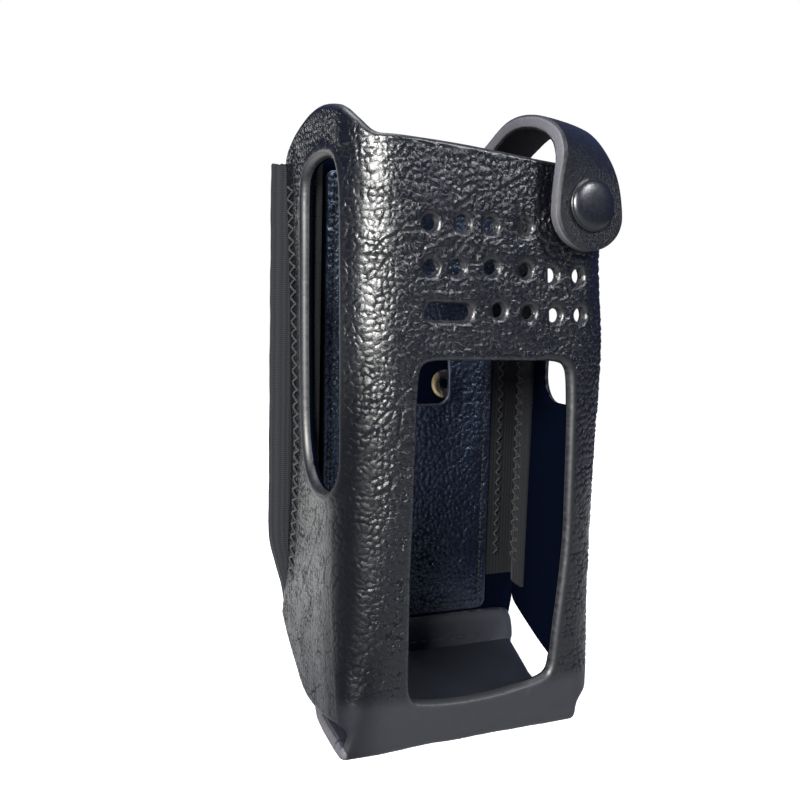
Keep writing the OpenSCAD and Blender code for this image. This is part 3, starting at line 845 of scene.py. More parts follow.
def brass_with_painted_shade(name):
    """Brass with painted shade: coloured black on the side where the heads lie in shade, brass on
    the lit side.
    """
    painted_shade_black = (0.012, 0.012, 0.014)
    mat = Shader(name)
    place = mat.object_mm()
    blotches = mat.noise(place, scale=1.6, detail=4, roughness=0.6)
    # mask of the lit side: brass there, the painted shade black on the other side
    wear_and_lit_side = mat.plus(mat.attribute("wear_and_lit_side"), mat.sub(blotches, 0.5), times=0.7)
    wear_and_lit_side = mat.remap(wear_and_lit_side, over=(0.42, 0.58))
    brass = mat.ramp(mat.noise(place, scale=2.4, detail=4, roughness=0.65),
                     (0.3, (0.42, 0.31, 0.15)), (0.7, (0.70, 0.55, 0.30)))
    texture = mat.noise(place, scale=8.0, detail=3, roughness=0.6)
    return mat.finish(Base_Color=mat.mix(wear_and_lit_side, painted_shade_black, brass), Metallic=wear_and_lit_side,
                      Roughness=mat.remap(blotches, over=(0.3, 0.7), to=(0.26, 0.42)),
                      Normal=mat.bump(texture, distance=0.000015, strength=0.6))


GRAIN = leather("grain_leather", dark=(0.0007, 0.0009, 0.0018), light=(0.0020, 0.0023, 0.0034),
                roughness=0.23, strip=True)
LINER_GRAIN = leather("liner_leather", dark=(0.0022, 0.0034, 0.0085),
                      light=(0.0055, 0.0075, 0.0165), roughness=0.27, specular=0.80,
                      tint=(0.62, 0.78, 1.0))
STRAP_GRAIN = leather("strap_grain", dark=(0.0016, 0.0019, 0.0028),
                      light=(0.0042, 0.0046, 0.0060), roughness=0.34, fine=2.0, specular=0.30)
FLESH = flesh("flesh_side", base=(0.0006, 0.0012, 0.0040), light=(0.0018, 0.0030, 0.0080),
              paint_floor_light=True)
STRAP_FLESH = flesh("strap_flesh_side", base=(0.022, 0.021, 0.024), light=(0.12, 0.115, 0.125))
CUT_EDGE = cut_edge("strap_cut_edge")
RIM = leather("burnished_edge", dark=(0.0060, 0.0063, 0.0075), light=(0.0125, 0.013, 0.015),
              roughness=0.32)
WEBBING = webbing("elastic_webbing")
THREAD = twisted_thread("black_thread")
CAP_LACQUER = painted("cap_black_lacquer", base=(0.0028, 0.0032, 0.0044), roughness=0.30,
                      bump=0.000010, wear=(0.02, 0.02, 0.024))
METAL = painted("black_lacquered_metal", base=(0.016, 0.016, 0.018), roughness=0.36,
                bump=0.00002)
PLASTIC = painted("black_plastic", base=(0.018, 0.018, 0.020), roughness=0.48, bump=0.00004)
BRASS = brass_with_painted_shade("brass")


# ---------------------------------------------------------------- the one-piece wrap: its form
# height, half width, radius of the corner to the front
RIGHT_WALL = np.array([
    (-5, 31.0, 7), (5, 31.1, 7), (15, 31.3, 8), (36, 31.7, 10.3), (53, 32.3, 11.5), (65, 32.7, 12),
    (78, 33.1, 12), (88, 33.4, 12), (98, 32.8, 12), (113, 31.3, 12), (160, 30.8, 12)]).T
LEFT_WALL = np.array([
    (-5, 33.7, 3.0), (5, 33.7, 3.0), (9, 33.8, 4.0), (15, 34, 6.5), (28, 34, 9.5), (50, 34, 12),
    (160, 34, 12)]).T
# height, how far the left wall's rear edge flares out
LEFT_FLARE = np.array([(-5, 1.6), (20, 1.5), (65, 0.7), (100, 1.4), (130, 2.6), (160, 3.0)]).T
RIGHT_REAR_X = 34.6     # the right wall's rear edge
FRONT_BEND = 2.5        # bend of the wrap under the case
REAR_BEND = 3.2         # bend up against the back panel


def soft_interp(z, heights, values):
    """Piecewise-linear values softened over a few millimetres, so that no kink shows."""
    total = 0
    for offset, weight in ((-6, 0.1), (-3, 0.2), (0, 0.4), (3, 0.2), (6, 0.1)):
        total = total + weight * np.interp(z + offset, heights, values)
    return total


def wall(u, z, left):
    """Level section of one half of the wrap, with u >= 0 from the middle: x, y and normal."""
    heights, widths, radii = LEFT_WALL if left else RIGHT_WALL
    half, radius = soft_interp(z, heights, widths), soft_interp(z, heights, radii)
    flare = soft_interp(z, *LEFT_FLARE) if left else RIGHT_REAR_X - half
    flat = half - radius
    angle = np.clip((u - flat) / radius, 0, math.pi / 2)
    x = np.where(u < flat, u, flat + radius * np.sin(angle))
    y = FRONT_Y + radius * (1 - np.cos(angle))
    behind = np.maximum(u - flat - radius * math.pi / 2, 0)
    y = y + behind
    span = WALL_REAR_Y - (FRONT_Y + radius)
    share = np.clip(behind / span, 0, 1.25)
    x = x + flare * share ** 1.5
    slope = flare * 1.5 * np.sqrt(share) / span
    steep = np.sqrt(1 + slope * slope)
    normal_x = np.where(behind > 0, 1 / steep, np.sin(angle))
    normal_y = np.where(behind > 0, -slope / steep, -np.cos(angle))
    return x, y, normal_x, normal_y


def shell_map(u, v):
    z = np.maximum(v, FRONT_BEND)
    far = np.abs(u)
    left, right = wall(far, z, True), wall(far, z, False)
    x, y, normal_x, normal_y = (np.where(u < 0, a, b) for a, b in zip(left, right))
    x, normal_x = np.where(u < 0, -x, x), np.where(u < 0, -normal_x, normal_x)
    # the front strip runs flat into the bottom
    flat = fall(FRONT_BEND, 7.0, v) * fall(34.0, 34.6, far)
    x = x * (1 - flat) + u * flat
    y = y * (1 - flat) + FRONT_Y * flat
    normals = columns(normal_x * (1 - flat), normal_y * (1 - flat) - flat, 0.0)
    # gentle outward swell of the front wall
    y = y - 0.45 * bell(u, 24) * rise(8, 40, v) * fall(118, 134, v)
    points = columns(x, y, z)

    # below the front bend: under the case, then up against the back panel
    under = FRONT_BEND - v > 0
    path = (FRONT_BEND - v)[under]
    bend1 = FRONT_BEND * np.pi / 2
    level = (PANEL_IN - REAR_BEND) - (FRONT_Y + FRONT_BEND)
    bend2 = REAR_BEND * np.pi / 2
    angle1 = np.clip(path / FRONT_BEND, 0, np.pi / 2)
    angle2 = np.clip((path - bend1 - level) / REAR_BEND, 0, np.pi / 2)
    y = (FRONT_Y + FRONT_BEND * (1 - np.cos(angle1)) + np.clip(path - bend1, 0, level)
         + REAR_BEND * np.sin(angle2))
    z = (FRONT_BEND * (1 - np.sin(angle1)) + REAR_BEND * (1 - np.cos(angle2))
         + np.maximum(path - bend1 - level - bend2, 0))
    front = path <= bend1 + level
    points[under] = columns(u[under], y, z)
    normals[under] = columns(0.0, np.where(front, -np.cos(angle1), np.sin(angle2)),
                             np.where(front, -np.sin(angle1), -np.cos(angle2)))
    return points, unit(normals)


# ---------------------------------------------------------------- the wrap: its pattern (u, v)
SHELL_OUTLINE = [
    # top edge, left to right
    (-73.2, 133.8), (-71.1, 136.5), (-67.8, 139.0), (-63, 141.1), (-57.5, 142.7), (-52, 143.2),
    (-46.5, 142.6), (-39.9, 141.0), (-36.7, 139.6), (-33, 137.2), (-30.4, 135.1), (-28.6, 134.3),
    (-26.8, 134.1), (-21, 133.9), (-15.7, 133.7), (-10, 133.4), (-4.6, 133.0), (5, 132.1),
    (12.1, 131.5), (18, 131.2), (30, 131.0), (50, 131.0), (66, 130.9),
    # right wall's rear and lower edges, then the bottom flap's right edge
    (69.0, 129.6), (69.5, 127), (69.5, 110), (69.6, 90), (69.8, 70), (70.1, 50), (70.5, 38),
    (71.0, 27), (71.6, 20), (71.6, 16.6), (70.2, 14.9), (64.9, 13.4), (60.2, 12.1), (55.8, 10.9),
    (51.3, 9.7), (42, 7.7), (35, 6.7), (30, 6.3), (27.6, 5.7), (26.2, 4.4), (25.8, 2.4),
    (25.8, -4), (25.6, -19.1), (28.6, -28.9), (31.4, -38.4), (32.2, -41.1), (33.1, -44.1),
    (33.9, -47), (34.2, -49.5), (33.9, -53), (33.0, -56.4), (31.2, -58.2),
    # bottom flap's end and left edge, then the left wall's lower and rear edges
    (20, -58.3), (0, -58.3), (-20, -58.3), (-26.8, -58.2), (-28.2, -56), (-28.6, -50),
    (-28.7, -44), (-29.0, -38), (-30.3, -31), (-32.2, -24.5), (-33.4, -19.5), (-33.9, -13),
    (-34.0, -4), (-33.9, 0), (-33.5, 2.6), (-33.1, 4.2), (-33.1, 5.7), (-33.6, 6.8),
    (-35.2, 7.05), (-40, 5.7), (-45.1, 4.4), (-50, 3.6), (-54.5, 3.25), (-58.5, 3.3),
    (-62.6, 4.2), (-67, 7.3), (-71.2, 10.7), (-75, 14.2), (-77.9, 17.6), (-78.0, 19.4),
    (-76.7, 22.8), (-75.2, 28), (-73.8, 34.7), (-72.6, 45.1), (-72.0, 51.3), (-72.4, 65.8),
    (-72.9, 89.2), (-73.1, 114.7), (-73.2, 126)]
LEFT_SLOT = [
    (-60.8, 125.5), (-61.1, 111.7), (-61.6, 100), (-61.2, 76), (-60.4, 68.5), (-58.7, 63.2),
    (-56.2, 59.8), (-53, 57.7), (-49.5, 56.7), (-45.9, 56.6), (-42.6, 57.4), (-39.6, 58.9),
    (-37.6, 61.4), (-37.1, 65), (-37.4, 78.6), (-38.1, 100), (-38.7, 116), (-39.0, 123),
    (-40.3, 128.0), (-43.3, 130.4), (-47.5, 131.3), (-52, 131.3), (-56.5, 130.5), (-59.6, 128.6)]
FRONT_WINDOW = [
    (-18.3, 83.9), (-18.5, 75.7), (-18.7, 50.7), (-19.0, 42.5), (-18.9, 30), (-18.8, 17.1),
    (-18.5, 13.4), (-17.5, 11.6), (-15.4, 10.9), (-7.6, 10.0), (2.4, 10.1), (9.8, 11),
    (14.3, 12.3), (16.6, 13.0), (17.6, 14.4), (18.0, 17.0), (18.5, 24.2), (19.4, 33.3),
    (20.3, 45.5), (20.2, 55.1), (19.9, 74.7), (19.5, 82.6), (18.9, 85.8), (17.0, 87.4),
    (10, 87.6), (0, 87.7), (-10, 87.7), (-15.6, 87.6), (-17.6, 86.6)]
SPEAKER_HOLES = [
    (-16.5, 116.5), (-9, 116.8), (-2.3, 116.7), (6.1, 116.9), (-16, 107.2), (-10, 107.4),
    (-1.7, 107.8), (6.7, 107.5), (13.5, 106.7), (20.8, 106.8), (0.4, 98.6), (8, 98.3),
    (14.9, 97.8), (21.8, 98.0)]
SHELL_LOOPS = [
    soft_loop(SHELL_OUTLINE, 0.62), soft_loop(LEFT_SLOT, 0.6), soft_loop(FRONT_WINDOW, 0.6),
    resample(rounded_rect(40.3, 75, 59.3, 118, 7.5), 0.7),          # opening in the right wall
    *(circle(x, y, 1.6, 22) for x, y in SPEAKER_HOLES),
    resample(rounded_rect(-16.8, 96.2, -6.2, 99.8, 1.79), 0.5),     # slot beside the holes
    circle(SNAP_X, SNAP_Z, 1.8, 22)]
SHELL_EDGE_RADII = [1.42] * 4 + [0.95] * len(SPEAKER_HOLES) + [1.0, 0.6]
OUTLINE_LOOP, SLOT_LOOP, WINDOW_LOOP, FIRST_HOLE_LOOP = 0, 1, 2, 4
CREASE = (-44.0, 52.0, -61.0, 28.0)     # from the slot's lower end down and back: u, v, u, v
RIGHT_STITCH = 66.0
WALL_STITCH_WIDTH = 1.9                 # half width of the walls' zigzags
SHELL_GRAIN = Grain(1.50, 1, stretch=1.05, wall=True, long_share=0.43)


def left_stitch(z):
    return np.interp(z, [28, 45, 62.9, 75.3, 87.7, 99.9, 114.5, 128],
                     [-70.1, -67.4, -66.8, -67.7, -68.3, -68.9, -69.4, -69.4])


def shell_relief(u, v, edge, loop):
    grain, crease, weight = SHELL_GRAIN.relief(u, v)
    side = rise(44, 50, -u)
    corner = bell(u + 37, 8.5, 4)

    # smooth strip along the front's lower edge
    top = 12.6 + 1.0 * noise(u / 6, v * 0, 3)
    strip = fall(top - 2.6, top + 1.6, v) * fall(34, 38, np.abs(u)) * rise(-3, 1, v)

    # the grain dies out towards the edges, on the strip and under the case
    fade = rise(0.3, 1.2, edge)
    fade = np.where(loop == SLOT_LOOP, rise(1.0, 3.4, edge), fade)
    fade = np.where(loop >= FIRST_HOLE_LOOP, rise(0.1, 0.7, edge), fade)
    window_fade = np.where(u > 12, rise(1.1, 2.5, edge), rise(0.1, 0.6, edge))
    fade = np.where(loop == WINDOW_LOOP, window_fade, fade)
    keep = fade * (1 - 0.94 * strip) * (1 - 0.5 * fall(-2, 2, v))

    # the left corner, the wall behind it and the lower front are flatter
    depth = 0.178 + 0.05 * noise(u / 7, v / 7, 21)
    lower_front = fall(20, 62, v) * rise(-70, -30, -np.abs(u + 30) - 20)
    depth = depth * (1 - 0.50 * corner) * (1 - 0.42 * side) * (1 - 0.35 * lower_front)
    height = depth * grain * keep
    swell = ((fractal(u / 13, v / 13, 31, 2) - 0.5) * 0.5
             + (fractal(u / 5, v / 5, 37, 2) - 0.5) * 0.16)
    height = height + swell * rise(0.5, 6, edge)

    # hems pressed down by the stitching
    for centre in (left_stitch(v), RIGHT_STITCH):
        height = height - 0.22 * bell(centre - u, 2.0, 4) * rise(26, 30, v) * fall(126, 130, v)
    # dished rims round the holes, raised rims round the slot and the window
    height = np.where(loop >= FIRST_HOLE_LOOP, height - 0.30 * bell(edge, 1.1), height)
    height = np.where(loop == SLOT_LOOP, height + 0.30 * bell(edge - 1.7, 1.3), height)
    window_rim = np.where(u > 12, 0.16, 0.03) * bell(edge - 1.8, 1.2)
    height = np.where(loop == WINDOW_LOOP, height + window_rim, height)

    # the single crease below the slot
    u0, v0, u1, v1 = CREASE
    length = math.hypot(u1 - u0, v1 - v0)
    du, dv = (u1 - u0) / length, (v1 - v0) / length
    along = (u - u0) * du + (v - v0) * dv
    off = -(u - u0) * dv + (v - v0) * du + 0.7 * (noise(along / 6, along * 0, 4) - 0.5)
    ends = rise(-2, 4, along) * fall(length - 5, length + 1, along)
    line = bell(off, 0.45) * ends
    height = height - 0.22 * line + 0.10 * bell(off - 1.1, 0.7) * ends
    cut = line > 0.4
    corner_weight = 1 - 0.6 * bell(u + 38, 11, 4) * fall(55, 85, v)
    return height, {
        "cd": np.where(cut, 0.1, crease),
        "cw": np.where(cut, 1.0, weight * keep * corner_weight),
        "smooth": np.clip(1 - keep * (1 - 0.5 * corner) * (1 - 0.3 * side), 0, 1),
        "strip": strip,
        "dull": bell(u + 36, 10.0, 4) * fall(70, 100, v)}


def shell_edge_radius(u, v, loop, radius):
    window = 0.5 + 0.92 * rise(8, 15, u)
    top = 0.9 + 0.5 * fall(-30, -26, u)
    radius = np.where((loop == OUTLINE_LOOP) & (v > 120), top, radius)
    return np.where(loop == WINDOW_LOOP, window, radius)


def build_wrap():
    shell = sheet("wrap_leather", SHELL_LOOPS, shell_map, LEATHER, SHELL_EDGE_RADII,
                  shell_relief, SHELL_GRAIN, step=0.43, back_step=1.8,
                  radius_at=shell_edge_radius)
    register(shell, "pebbled_leather", "main_shell")


def build_rubbed_edge():
    """The bottom's cut edge at the open lower left corner, rubbed round and pale."""
    down = -np.linspace(3.6, -31, 80)
    u = np.interp(down, [-3.6, -0.5, 4, 13, 19.5, 24.5, 31],
                  [-31.92, -32.52, -32.67, -32.52, -32.02, -30.92, -29.12])
    points, normals = shell_map(u, -down)
    edge = tubes("bottom_left_rubbed_edge", [points - normals * (LEATHER / 2)],
                 LEATHER / 2 - 0.02, CUT_EDGE, sides=20)
    register(edge, "pebbled_leather")


build_wrap()
build_rubbed_edge()


# ---------------------------------------------------------------- back panel and lining
def upright(x, y, z, facing):
    """Points of a surface that faces back (1.0) or front (-1.0)."""
    return columns(x, y, z), np.tile([0.0, facing, 0.0], (len(x), 1))


def plain_relief(grain, height, fade, swell_size, swell_height, swell_fade, seed, pressed):
    """Relief of a plain piece: grain, a broad swell, and the depth pressed by seams.
    fade: distances from the edge over which the grain starts."""
    def relief(u, v, edge, _loop):
        pebbles, crease, weight = grain.relief(u, v)
        keep = rise(*fade, edge)
        swell = (fractal(u / swell_size, v / swell_size, seed, 2) - 0.5) * swell_height
        surface = height * pebbles * keep + swell * rise(0.5, swell_fade, edge) - pressed(u, v)
        return surface, {"cd": crease, "cw": weight * keep, "smooth": 1 - keep}
    return relief


PANEL_STITCH_X = 27.7
FLAP_STITCH_Z = 5.3
PANEL_X = -float(PANEL_LOW[0])
PANEL_OUTLINE = [
    (-PANEL_X, 120), (-PANEL_X + 0.3, 130), (-30.6, 134.2), (-27, 136.4), (-20, 136.9),
    (-12, 136.5), (-4, 135.2), (3, 133.9), (9, 133.3), (22, 133.3), (27.5, 133.0), (30.6, 131.2),
    (31.8, 127), (PANEL_X, 110), (PANEL_X, 60), (PANEL_X, 40), (PANEL_X + 1.6, 34),
    (PANEL_X + 3.4, 28), (PANEL_X + 3.5, 16), (PANEL_X + 2.6, 10.5), (PANEL_X + 1.9, 6.5),
    (PANEL_X + 0.4, 2.8), (PANEL_X - 3, 0.9), (22, 0.6), (-22, 0.6), (-27, 0.8), (-30.4, 2.8),
    (-31.7, 7), (-PANEL_X, 14), (-PANEL_X, 60)]
LINER_STITCH_X = 22.6


def panel_map(u, v):
    y = PANEL_OUT + 0.25 * bell(np.hypot(u / 20, (v - 88) / 26), 1)
    return upright(u, y, v, 1.0)


def panel_pressed(u, v):
    seams = bell(u + PANEL_STITCH_X, 1.0) + bell(u - PANEL_STITCH_X, 1.0)
    flap = bell(v - FLAP_STITCH_Z, 0.8) * fall(25, 27, np.abs(u))
    return 0.16 * seams * rise(26, 30, v) * fall(126, 130, v) + 0.12 * flap


def liner_map(u, v):
    """The lining's inner face, bulged forward over the plate's rivets."""
    y = LINER_Y
    for x, z in PLATE_RIVETS:
        y = y - 0.55 * bell(np.hypot(u - x, v - z), 4.6, 4)
    return upright(u, y, v, -1.0)


def build_back_panel():
    grain = Grain(1.55, 2, shift=200.0, stretch=1.08)
    relief = plain_relief(grain, height=0.16, fade=(0.4, 1.8), swell_size=12, swell_height=0.4,
                          swell_fade=6, seed=61, pressed=panel_pressed)
    panel = sheet("back_panel_leather", [soft_loop(PANEL_OUTLINE, 0.62)], panel_map,
                  PANEL_OUT - PANEL_IN, [1.3], relief, grain,
                  step=0.48, back_step=2.2)
    register(panel, "pebbled_leather", "back_panel")


def build_lining():
    grain = Grain(1.5, 3, shift=400.0, stretch=1.15, turn=-0.75, long_size=(8.5, 3.4),
                  long_share=0.34)
    relief = plain_relief(
        grain, height=0.17, fade=(0.2, 0.9), swell_size=8, swell_height=0.22, swell_fade=4,
        seed=71, pressed=lambda u, v: 0.12 * bell(np.abs(u) - LINER_STITCH_X, 0.7))
    outline = rounded_rect(LINER_LOW[0], LINER_LOW[2], LINER_HIGH[0], LINER_HIGH[2], 2.5)
    opening = rounded_rect(-11, 72.6, 11, 93, 3)
    lining = sheet("lining_leather", [resample(outline, 0.55), resample(opening, 0.55)],
                   liner_map, PANEL_IN - LINER_Y, [0.6, 0.6], relief, grain,
                   step=0.48, back_step=2.2, top=LINER_GRAIN,
                   rings=(0.05, 0.2, 0.45, 0.8))
    register(lining, "pebbled_leather", "back_liner")


build_back_panel()
build_lining()

# ---------------------------------------------------------------- elastic gussets
# level section of the left gusset (x, y), from inside the side wall to the back panel
GUSSET_PATH = [
    (-29.6, 11.0), (-29.7, 14), (-30.0, 17), (-31.2, 19.4), (-33.5, 20.0), (-35.9, 20.1),
    (-37.6, 20.9), (-38.0, 22.2), (-37.3, 23.6), (-35.5, 24.3), (-33, 24.3), (-30, 24.3),
    (-25.6, 24.3)]
GUSSET_ROWS = 190
WEB_THICKNESS = 1.5
RIB_PITCH = 1.15


def gusset(name, side, node):
    """Webbing sewn inside the side wall, bulging out past its rear edge and lying on the
    back panel. side is -1 on the left and 1 on the right, where the section is mirrored."""
    bottom, top = (float(corner[2]) for corner in box_mm(node))
    path = resample(chaikin(GUSSET_PATH, 3, closed=False), 0.35, closed=False)
    tangent = unit(np.gradient(path, axis=0))
    normal_x, normal_y = tangent[:, 1], -tangent[:, 0]
    along = arc_length(path)
    count = len(path)
    out = np.maximum(0, -(path[:, 0] + 33.0))
    rib = 0.07 * np.sin(along * 2 * math.pi / RIB_PITCH)
    vertices, pattern = [], []
    for k, z in enumerate(np.linspace(bottom - 3.0, top, GUSSET_ROWS)):
        bulge = rise(bottom - 4, bottom + 16, z)    # dies out towards the lower end
        wave = 0.22 * math.sin(z * 0.33 + side) + 0.12 * math.sin(z * 0.9)
        x = path[:, 0] + out * (1 - bulge) * 0.85 - out * 0.04 * wave
        y = path[:, 1] + 0.10 * wave * (out > 0)
        height = z
        if k == GUSSET_ROWS - 1:    # frayed top edge
            height = z + 0.5 * (hash01(np.arange(count), np.zeros(count), 3) - 0.5)
        for face, offset in ((0.0, rib + 0.02), (9.0, -WEB_THICKNESS - rib)):
            vertices.append(columns(x + normal_x * offset, y + normal_y * offset, height))
            pattern.append(columns(along, z, face))
    vertices = np.vstack(vertices)
    if side > 0:
        vertices[:, 0] *= -1
    index = np.arange(GUSSET_ROWS * 2 * count).reshape(GUSSET_ROWS, 2, count)
    quads = []
    for grid, turned in ((index[:, 0], True), (index[:, 1], False), (index[:, :, 0], False),
                         (index[:, :, -1], True), (index[0].T, False), (index[-1].T, True)):
        faces = grid_quads(grid)
        quads.append(faces[:, ::-1] if turned != (side > 0) else faces)
    web = make(name, vertices, [np.vstack(quads)], [WEBBING],
               attributes={"pat": np.vstack(pattern)})
    register(web, "elastic_webbing", node)


gusset("left_elastic_webbing", -1, "left_elastic_gusset")
gusset("right_elastic_webbing", 1, "right_elastic_gusset")

# ---------------------------------------------------------------- sewing
SEAM_LOW, SEAM_HIGH = 28.5, 127.5
STITCH_STEPS = np.linspace(0.0, 1.0, 9)


def lay_stitch(place, u, v, lift, dip, power):
    """One stitch: lifted in the middle, its ends dipping into the leather."""
    points, normals = place(u, v)
    return points + normals * (lift - dip * np.abs(2 * STITCH_STEPS - 1) ** power)[:, None]


def zigzag(centre, place, top=SEAM_HIGH, half_width=0.75, lift=0.02):
    """Separate stitches of a zigzag whose middle is at centre(z)."""
    pitch = 1.5
    lines = []
    for i in range(int((top - SEAM_LOW) / pitch)):
        low, high = SEAM_LOW + i * pitch, SEAM_LOW + (i + 1) * pitch
        start = -half_width if i % 2 == 0 else half_width
        z = low + (high - low) * STITCH_STEPS
        u = centre(z) + start + (-2 * start) * STITCH_STEPS
        jitter = 0.06 * (hash01(i * 1.0, SEAM_LOW, 2) - 0.5)
        lines.append(lay_stitch(place, u, z, lift + jitter, dip=0.34, power=4))
    return lines


def run_stitch(path, place, length=2.3, gap=0.7):
    """Running stitches along a pattern-space polyline."""
    path = np.asarray(path, float)
    stations = arc_length(path)
    lines = []
    start = 0.0
    while start + length <= stations[-1] + 0.2:
        uv = interp_rows(start + length * STITCH_STEPS, stations, path)
        lines.append(lay_stitch(place, uv[:, 0], uv[:, 1], lift=0.10, dip=0.35, power=5))
        start += length + gap
    return lines


def straight(at):
    return lambda z: at


def flat_front(y):
    return lambda u, v: upright(u, y, v, -1.0)


def wall_inside(side):
    """Inner face of a gusset's wall leaf; u is y there."""
    def place(u, v):
        x = 29.55 + np.abs(u - 16) * 0.02
        return columns(side * x, u, v), np.tile([-side, 0.0, 0.0], (len(u), 1))
    return place


def sew(name, lines, radius, node, body="case"):
    register(tubes(name, lines, radius, THREAD), "thread", node, body=body)


for side, word, centre in ((-1.0, "left", left_stitch), (1.0, "right", straight(RIGHT_STITCH))):
    sew(f"{word}_wall_zigzag",
        zigzag(centre, shell_map, half_width=WALL_STITCH_WIDTH)
        + zigzag(straight(16), wall_inside(side), half_width=WALL_STITCH_WIDTH),
        0.24, f"{word}_gusset_zigzag")
for side, word, top in ((-1, "left", SEAM_HIGH), (1, "right", 106.5)):
    centre = straight(side * PANEL_STITCH_X)
    sew(f"{word}_panel_zigzag",
        zigzag(centre, flat_front(PANEL_IN - 1.55), lift=0.1) + zigzag(centre, panel_map, top),
        0.26, f"{word}_panel_stitch")
FLAP_SEAM = [(-26, FLAP_STITCH_Z), (24, FLAP_STITCH_Z)]
sew("bottom_flap_sewing",
    run_stitch(FLAP_SEAM, flat_front(PANEL_IN - LEATHER)) + run_stitch(FLAP_SEAM, panel_map),
    0.30, "bottom_flap_stitch")
LINER_SEAM = [(-LINER_STITCH_X, 130.5), (-LINER_STITCH_X, 14.9),
              (LINER_STITCH_X, 14.9), (LINER_STITCH_X, 130.5)]
sew("lining_sewing", run_stitch(LINER_SEAM, liner_map, 2.2, 0.6), 0.26, "liner_stitch")

# ---------------------------------------------------------------- strap
# Twisted a little, its left edge lower at the back. Outer face's left edge (x, y, z) and
# right edge (x, y, z), from the tip upwards and over to the root.
STRAP_EDGES = [
    (11.05, -29.5, 112.15, 28.25, -29.3, 112.15), (10.95, -29.45, 117.5, 28.25, -29.2, 117.0),
    (10.95, -29.4, 121.7, 28.25, -29.0, 120.7), (11.15, -29.5, 125.7, 28.25, -28.3, 124.3),
    (11.45, -29.95, 129.1, 28.25, -27.0, 127.8), (11.75, -30.35, 131.9, 28.25, -25.3, 130.7),
    (11.75, -30.0, 134.6, 28.25, -23.2, 133.4), (11.75, -28.6, 137.1, 28.25, -20.5, 136.2),
    (11.75, -26.0, 139.2, 28.25, -17.6, 138.7), (11.75, -22.6, 141.0, 28.25, -14.3, 140.9),
    (11.8, -18.8, 142.4, 28.25, -10.8, 142.5), (11.9, -14.6, 143.4, 28.3, -7.0, 144.1),
    (12.1, -10.0, 144.1, 28.5, -3.0, 145.4), (12.6, -5.2, 144.4, 28.8, 1.2, 146.2),
    (13.2, 0.0, 144.2, 29.2, 5.4, 146.0), (13.7, 5.2, 143.0, 29.5, 10.0, 145.0),
    (14.2, 10.4, 141.3, 29.7, 15.0, 143.3), (14.5, 15.6, 139.6, 29.8, 19.8, 141.3),
    (14.7, 20.8, 138.1, 29.9, 24.2, 139.2), (14.8, 26.0, 136.8, 30.0, 27.8, 137.2),
    (14.9, 29.4, 135.0, 30.0, 30.0, 134.9), (14.9, 30.65, 131.6, 30.0, 30.75, 131.4),
    (14.9, 30.6, 127.0, 30.0, 30.6, 127.0), (14.7, 30.5, 121.0, 29.8, 30.5, 121.0),
    (14.5, 30.45, 115.0, 29.5, 30.45, 115.0), (14.4, 30.4, 109.3, 29.4, 30.4, 109.3)]
STRAP_THICKNESS = 3.2
STRAP_HALF = 8.25       # half width, and radius of the rounded tip
ROOT_CORNER = 2.2       # corner radius at the root
FACE_STEPS, SIDE_STEPS = 44, 6
OUTER, SIDE, INNER = 0, 1, 2    # zones of the section, also material slots


def strap_stations():
    """Distances along the strap, closer together at the two ends, and the edges there."""
    edges = resample(chaikin(STRAP_EDGES, 3, closed=False), 0.55 * math.sqrt(2), closed=False)
    length = arc_length((edges[:, :3] + edges[:, 3:]) / 2)
    root = length[-1] - ROOT_CORNER
    quarter = math.pi / 2
    stations = np.concatenate([
        STRAP_HALF * (1 - np.cos(np.linspace(0, quarter, 26)))[:-1],
        np.arange(STRAP_HALF, root, 0.40),
        root + ROOT_CORNER * np.sin(np.linspace(0, quarter, 9))])
    at = interp_rows(stations, length, edges)
    # share of the full width left by the round tip and the root's corners
    share = np.ones(len(stations))
    tip = stations < STRAP_HALF
    share[tip] = np.sqrt(np.clip(
        STRAP_HALF ** 2 - (STRAP_HALF - stations[tip]) ** 2, 0, None)) / STRAP_HALF
    end = stations > root
    drop = np.sqrt(np.clip(ROOT_CORNER ** 2 - (stations[end] - root) ** 2, 0, None))
    share[end] = 1 - (ROOT_CORNER - drop) / STRAP_HALF
    return stations, at[:, :3], at[:, 3:], np.clip(share, 0.03, 1)


def strap_normals(tangent, across):
    """Outer face's normals: front at the tip, up over the arch, back at the root."""
    normals = unit(np.cross(across, tangent))
    window = np.hanning(9)
    window /= window.sum()
    for axis in range(3):
        padded = np.pad(normals[:, axis], 4, mode="edge")
        normals[:, axis] = np.convolve(padded, window, mode="valid")
    return unit(normals)


def strap_section():
    """Closed section: position across -1..1, depth below the outer face, zone."""
    across = np.arange(FACE_STEPS + 1) * 2 / FACE_STEPS
    depth = STRAP_THICKNESS * np.arange(1, SIDE_STEPS) / SIDE_STEPS
    rows = np.vstack([columns(-1 + across, 0.0, OUTER), columns(1.0, depth, SIDE),
                      columns(1 - across, STRAP_THICKNESS, INNER),
                      columns(-1.0, depth[::-1], SIDE)])
    return rows[:, 0], rows[:, 1], rows[:, 2].astype(int)


STATIONS, STRAP_LEFT, STRAP_RIGHT, WIDTH_SHARE = strap_stations()
STRAP_MID = (STRAP_LEFT + STRAP_RIGHT) / 2
STRAP_ACROSS = unit(STRAP_RIGHT - STRAP_LEFT)
STRAP_NORMAL = strap_normals(unit(np.gradient(STRAP_MID, STATIONS, axis=0)), STRAP_ACROSS)


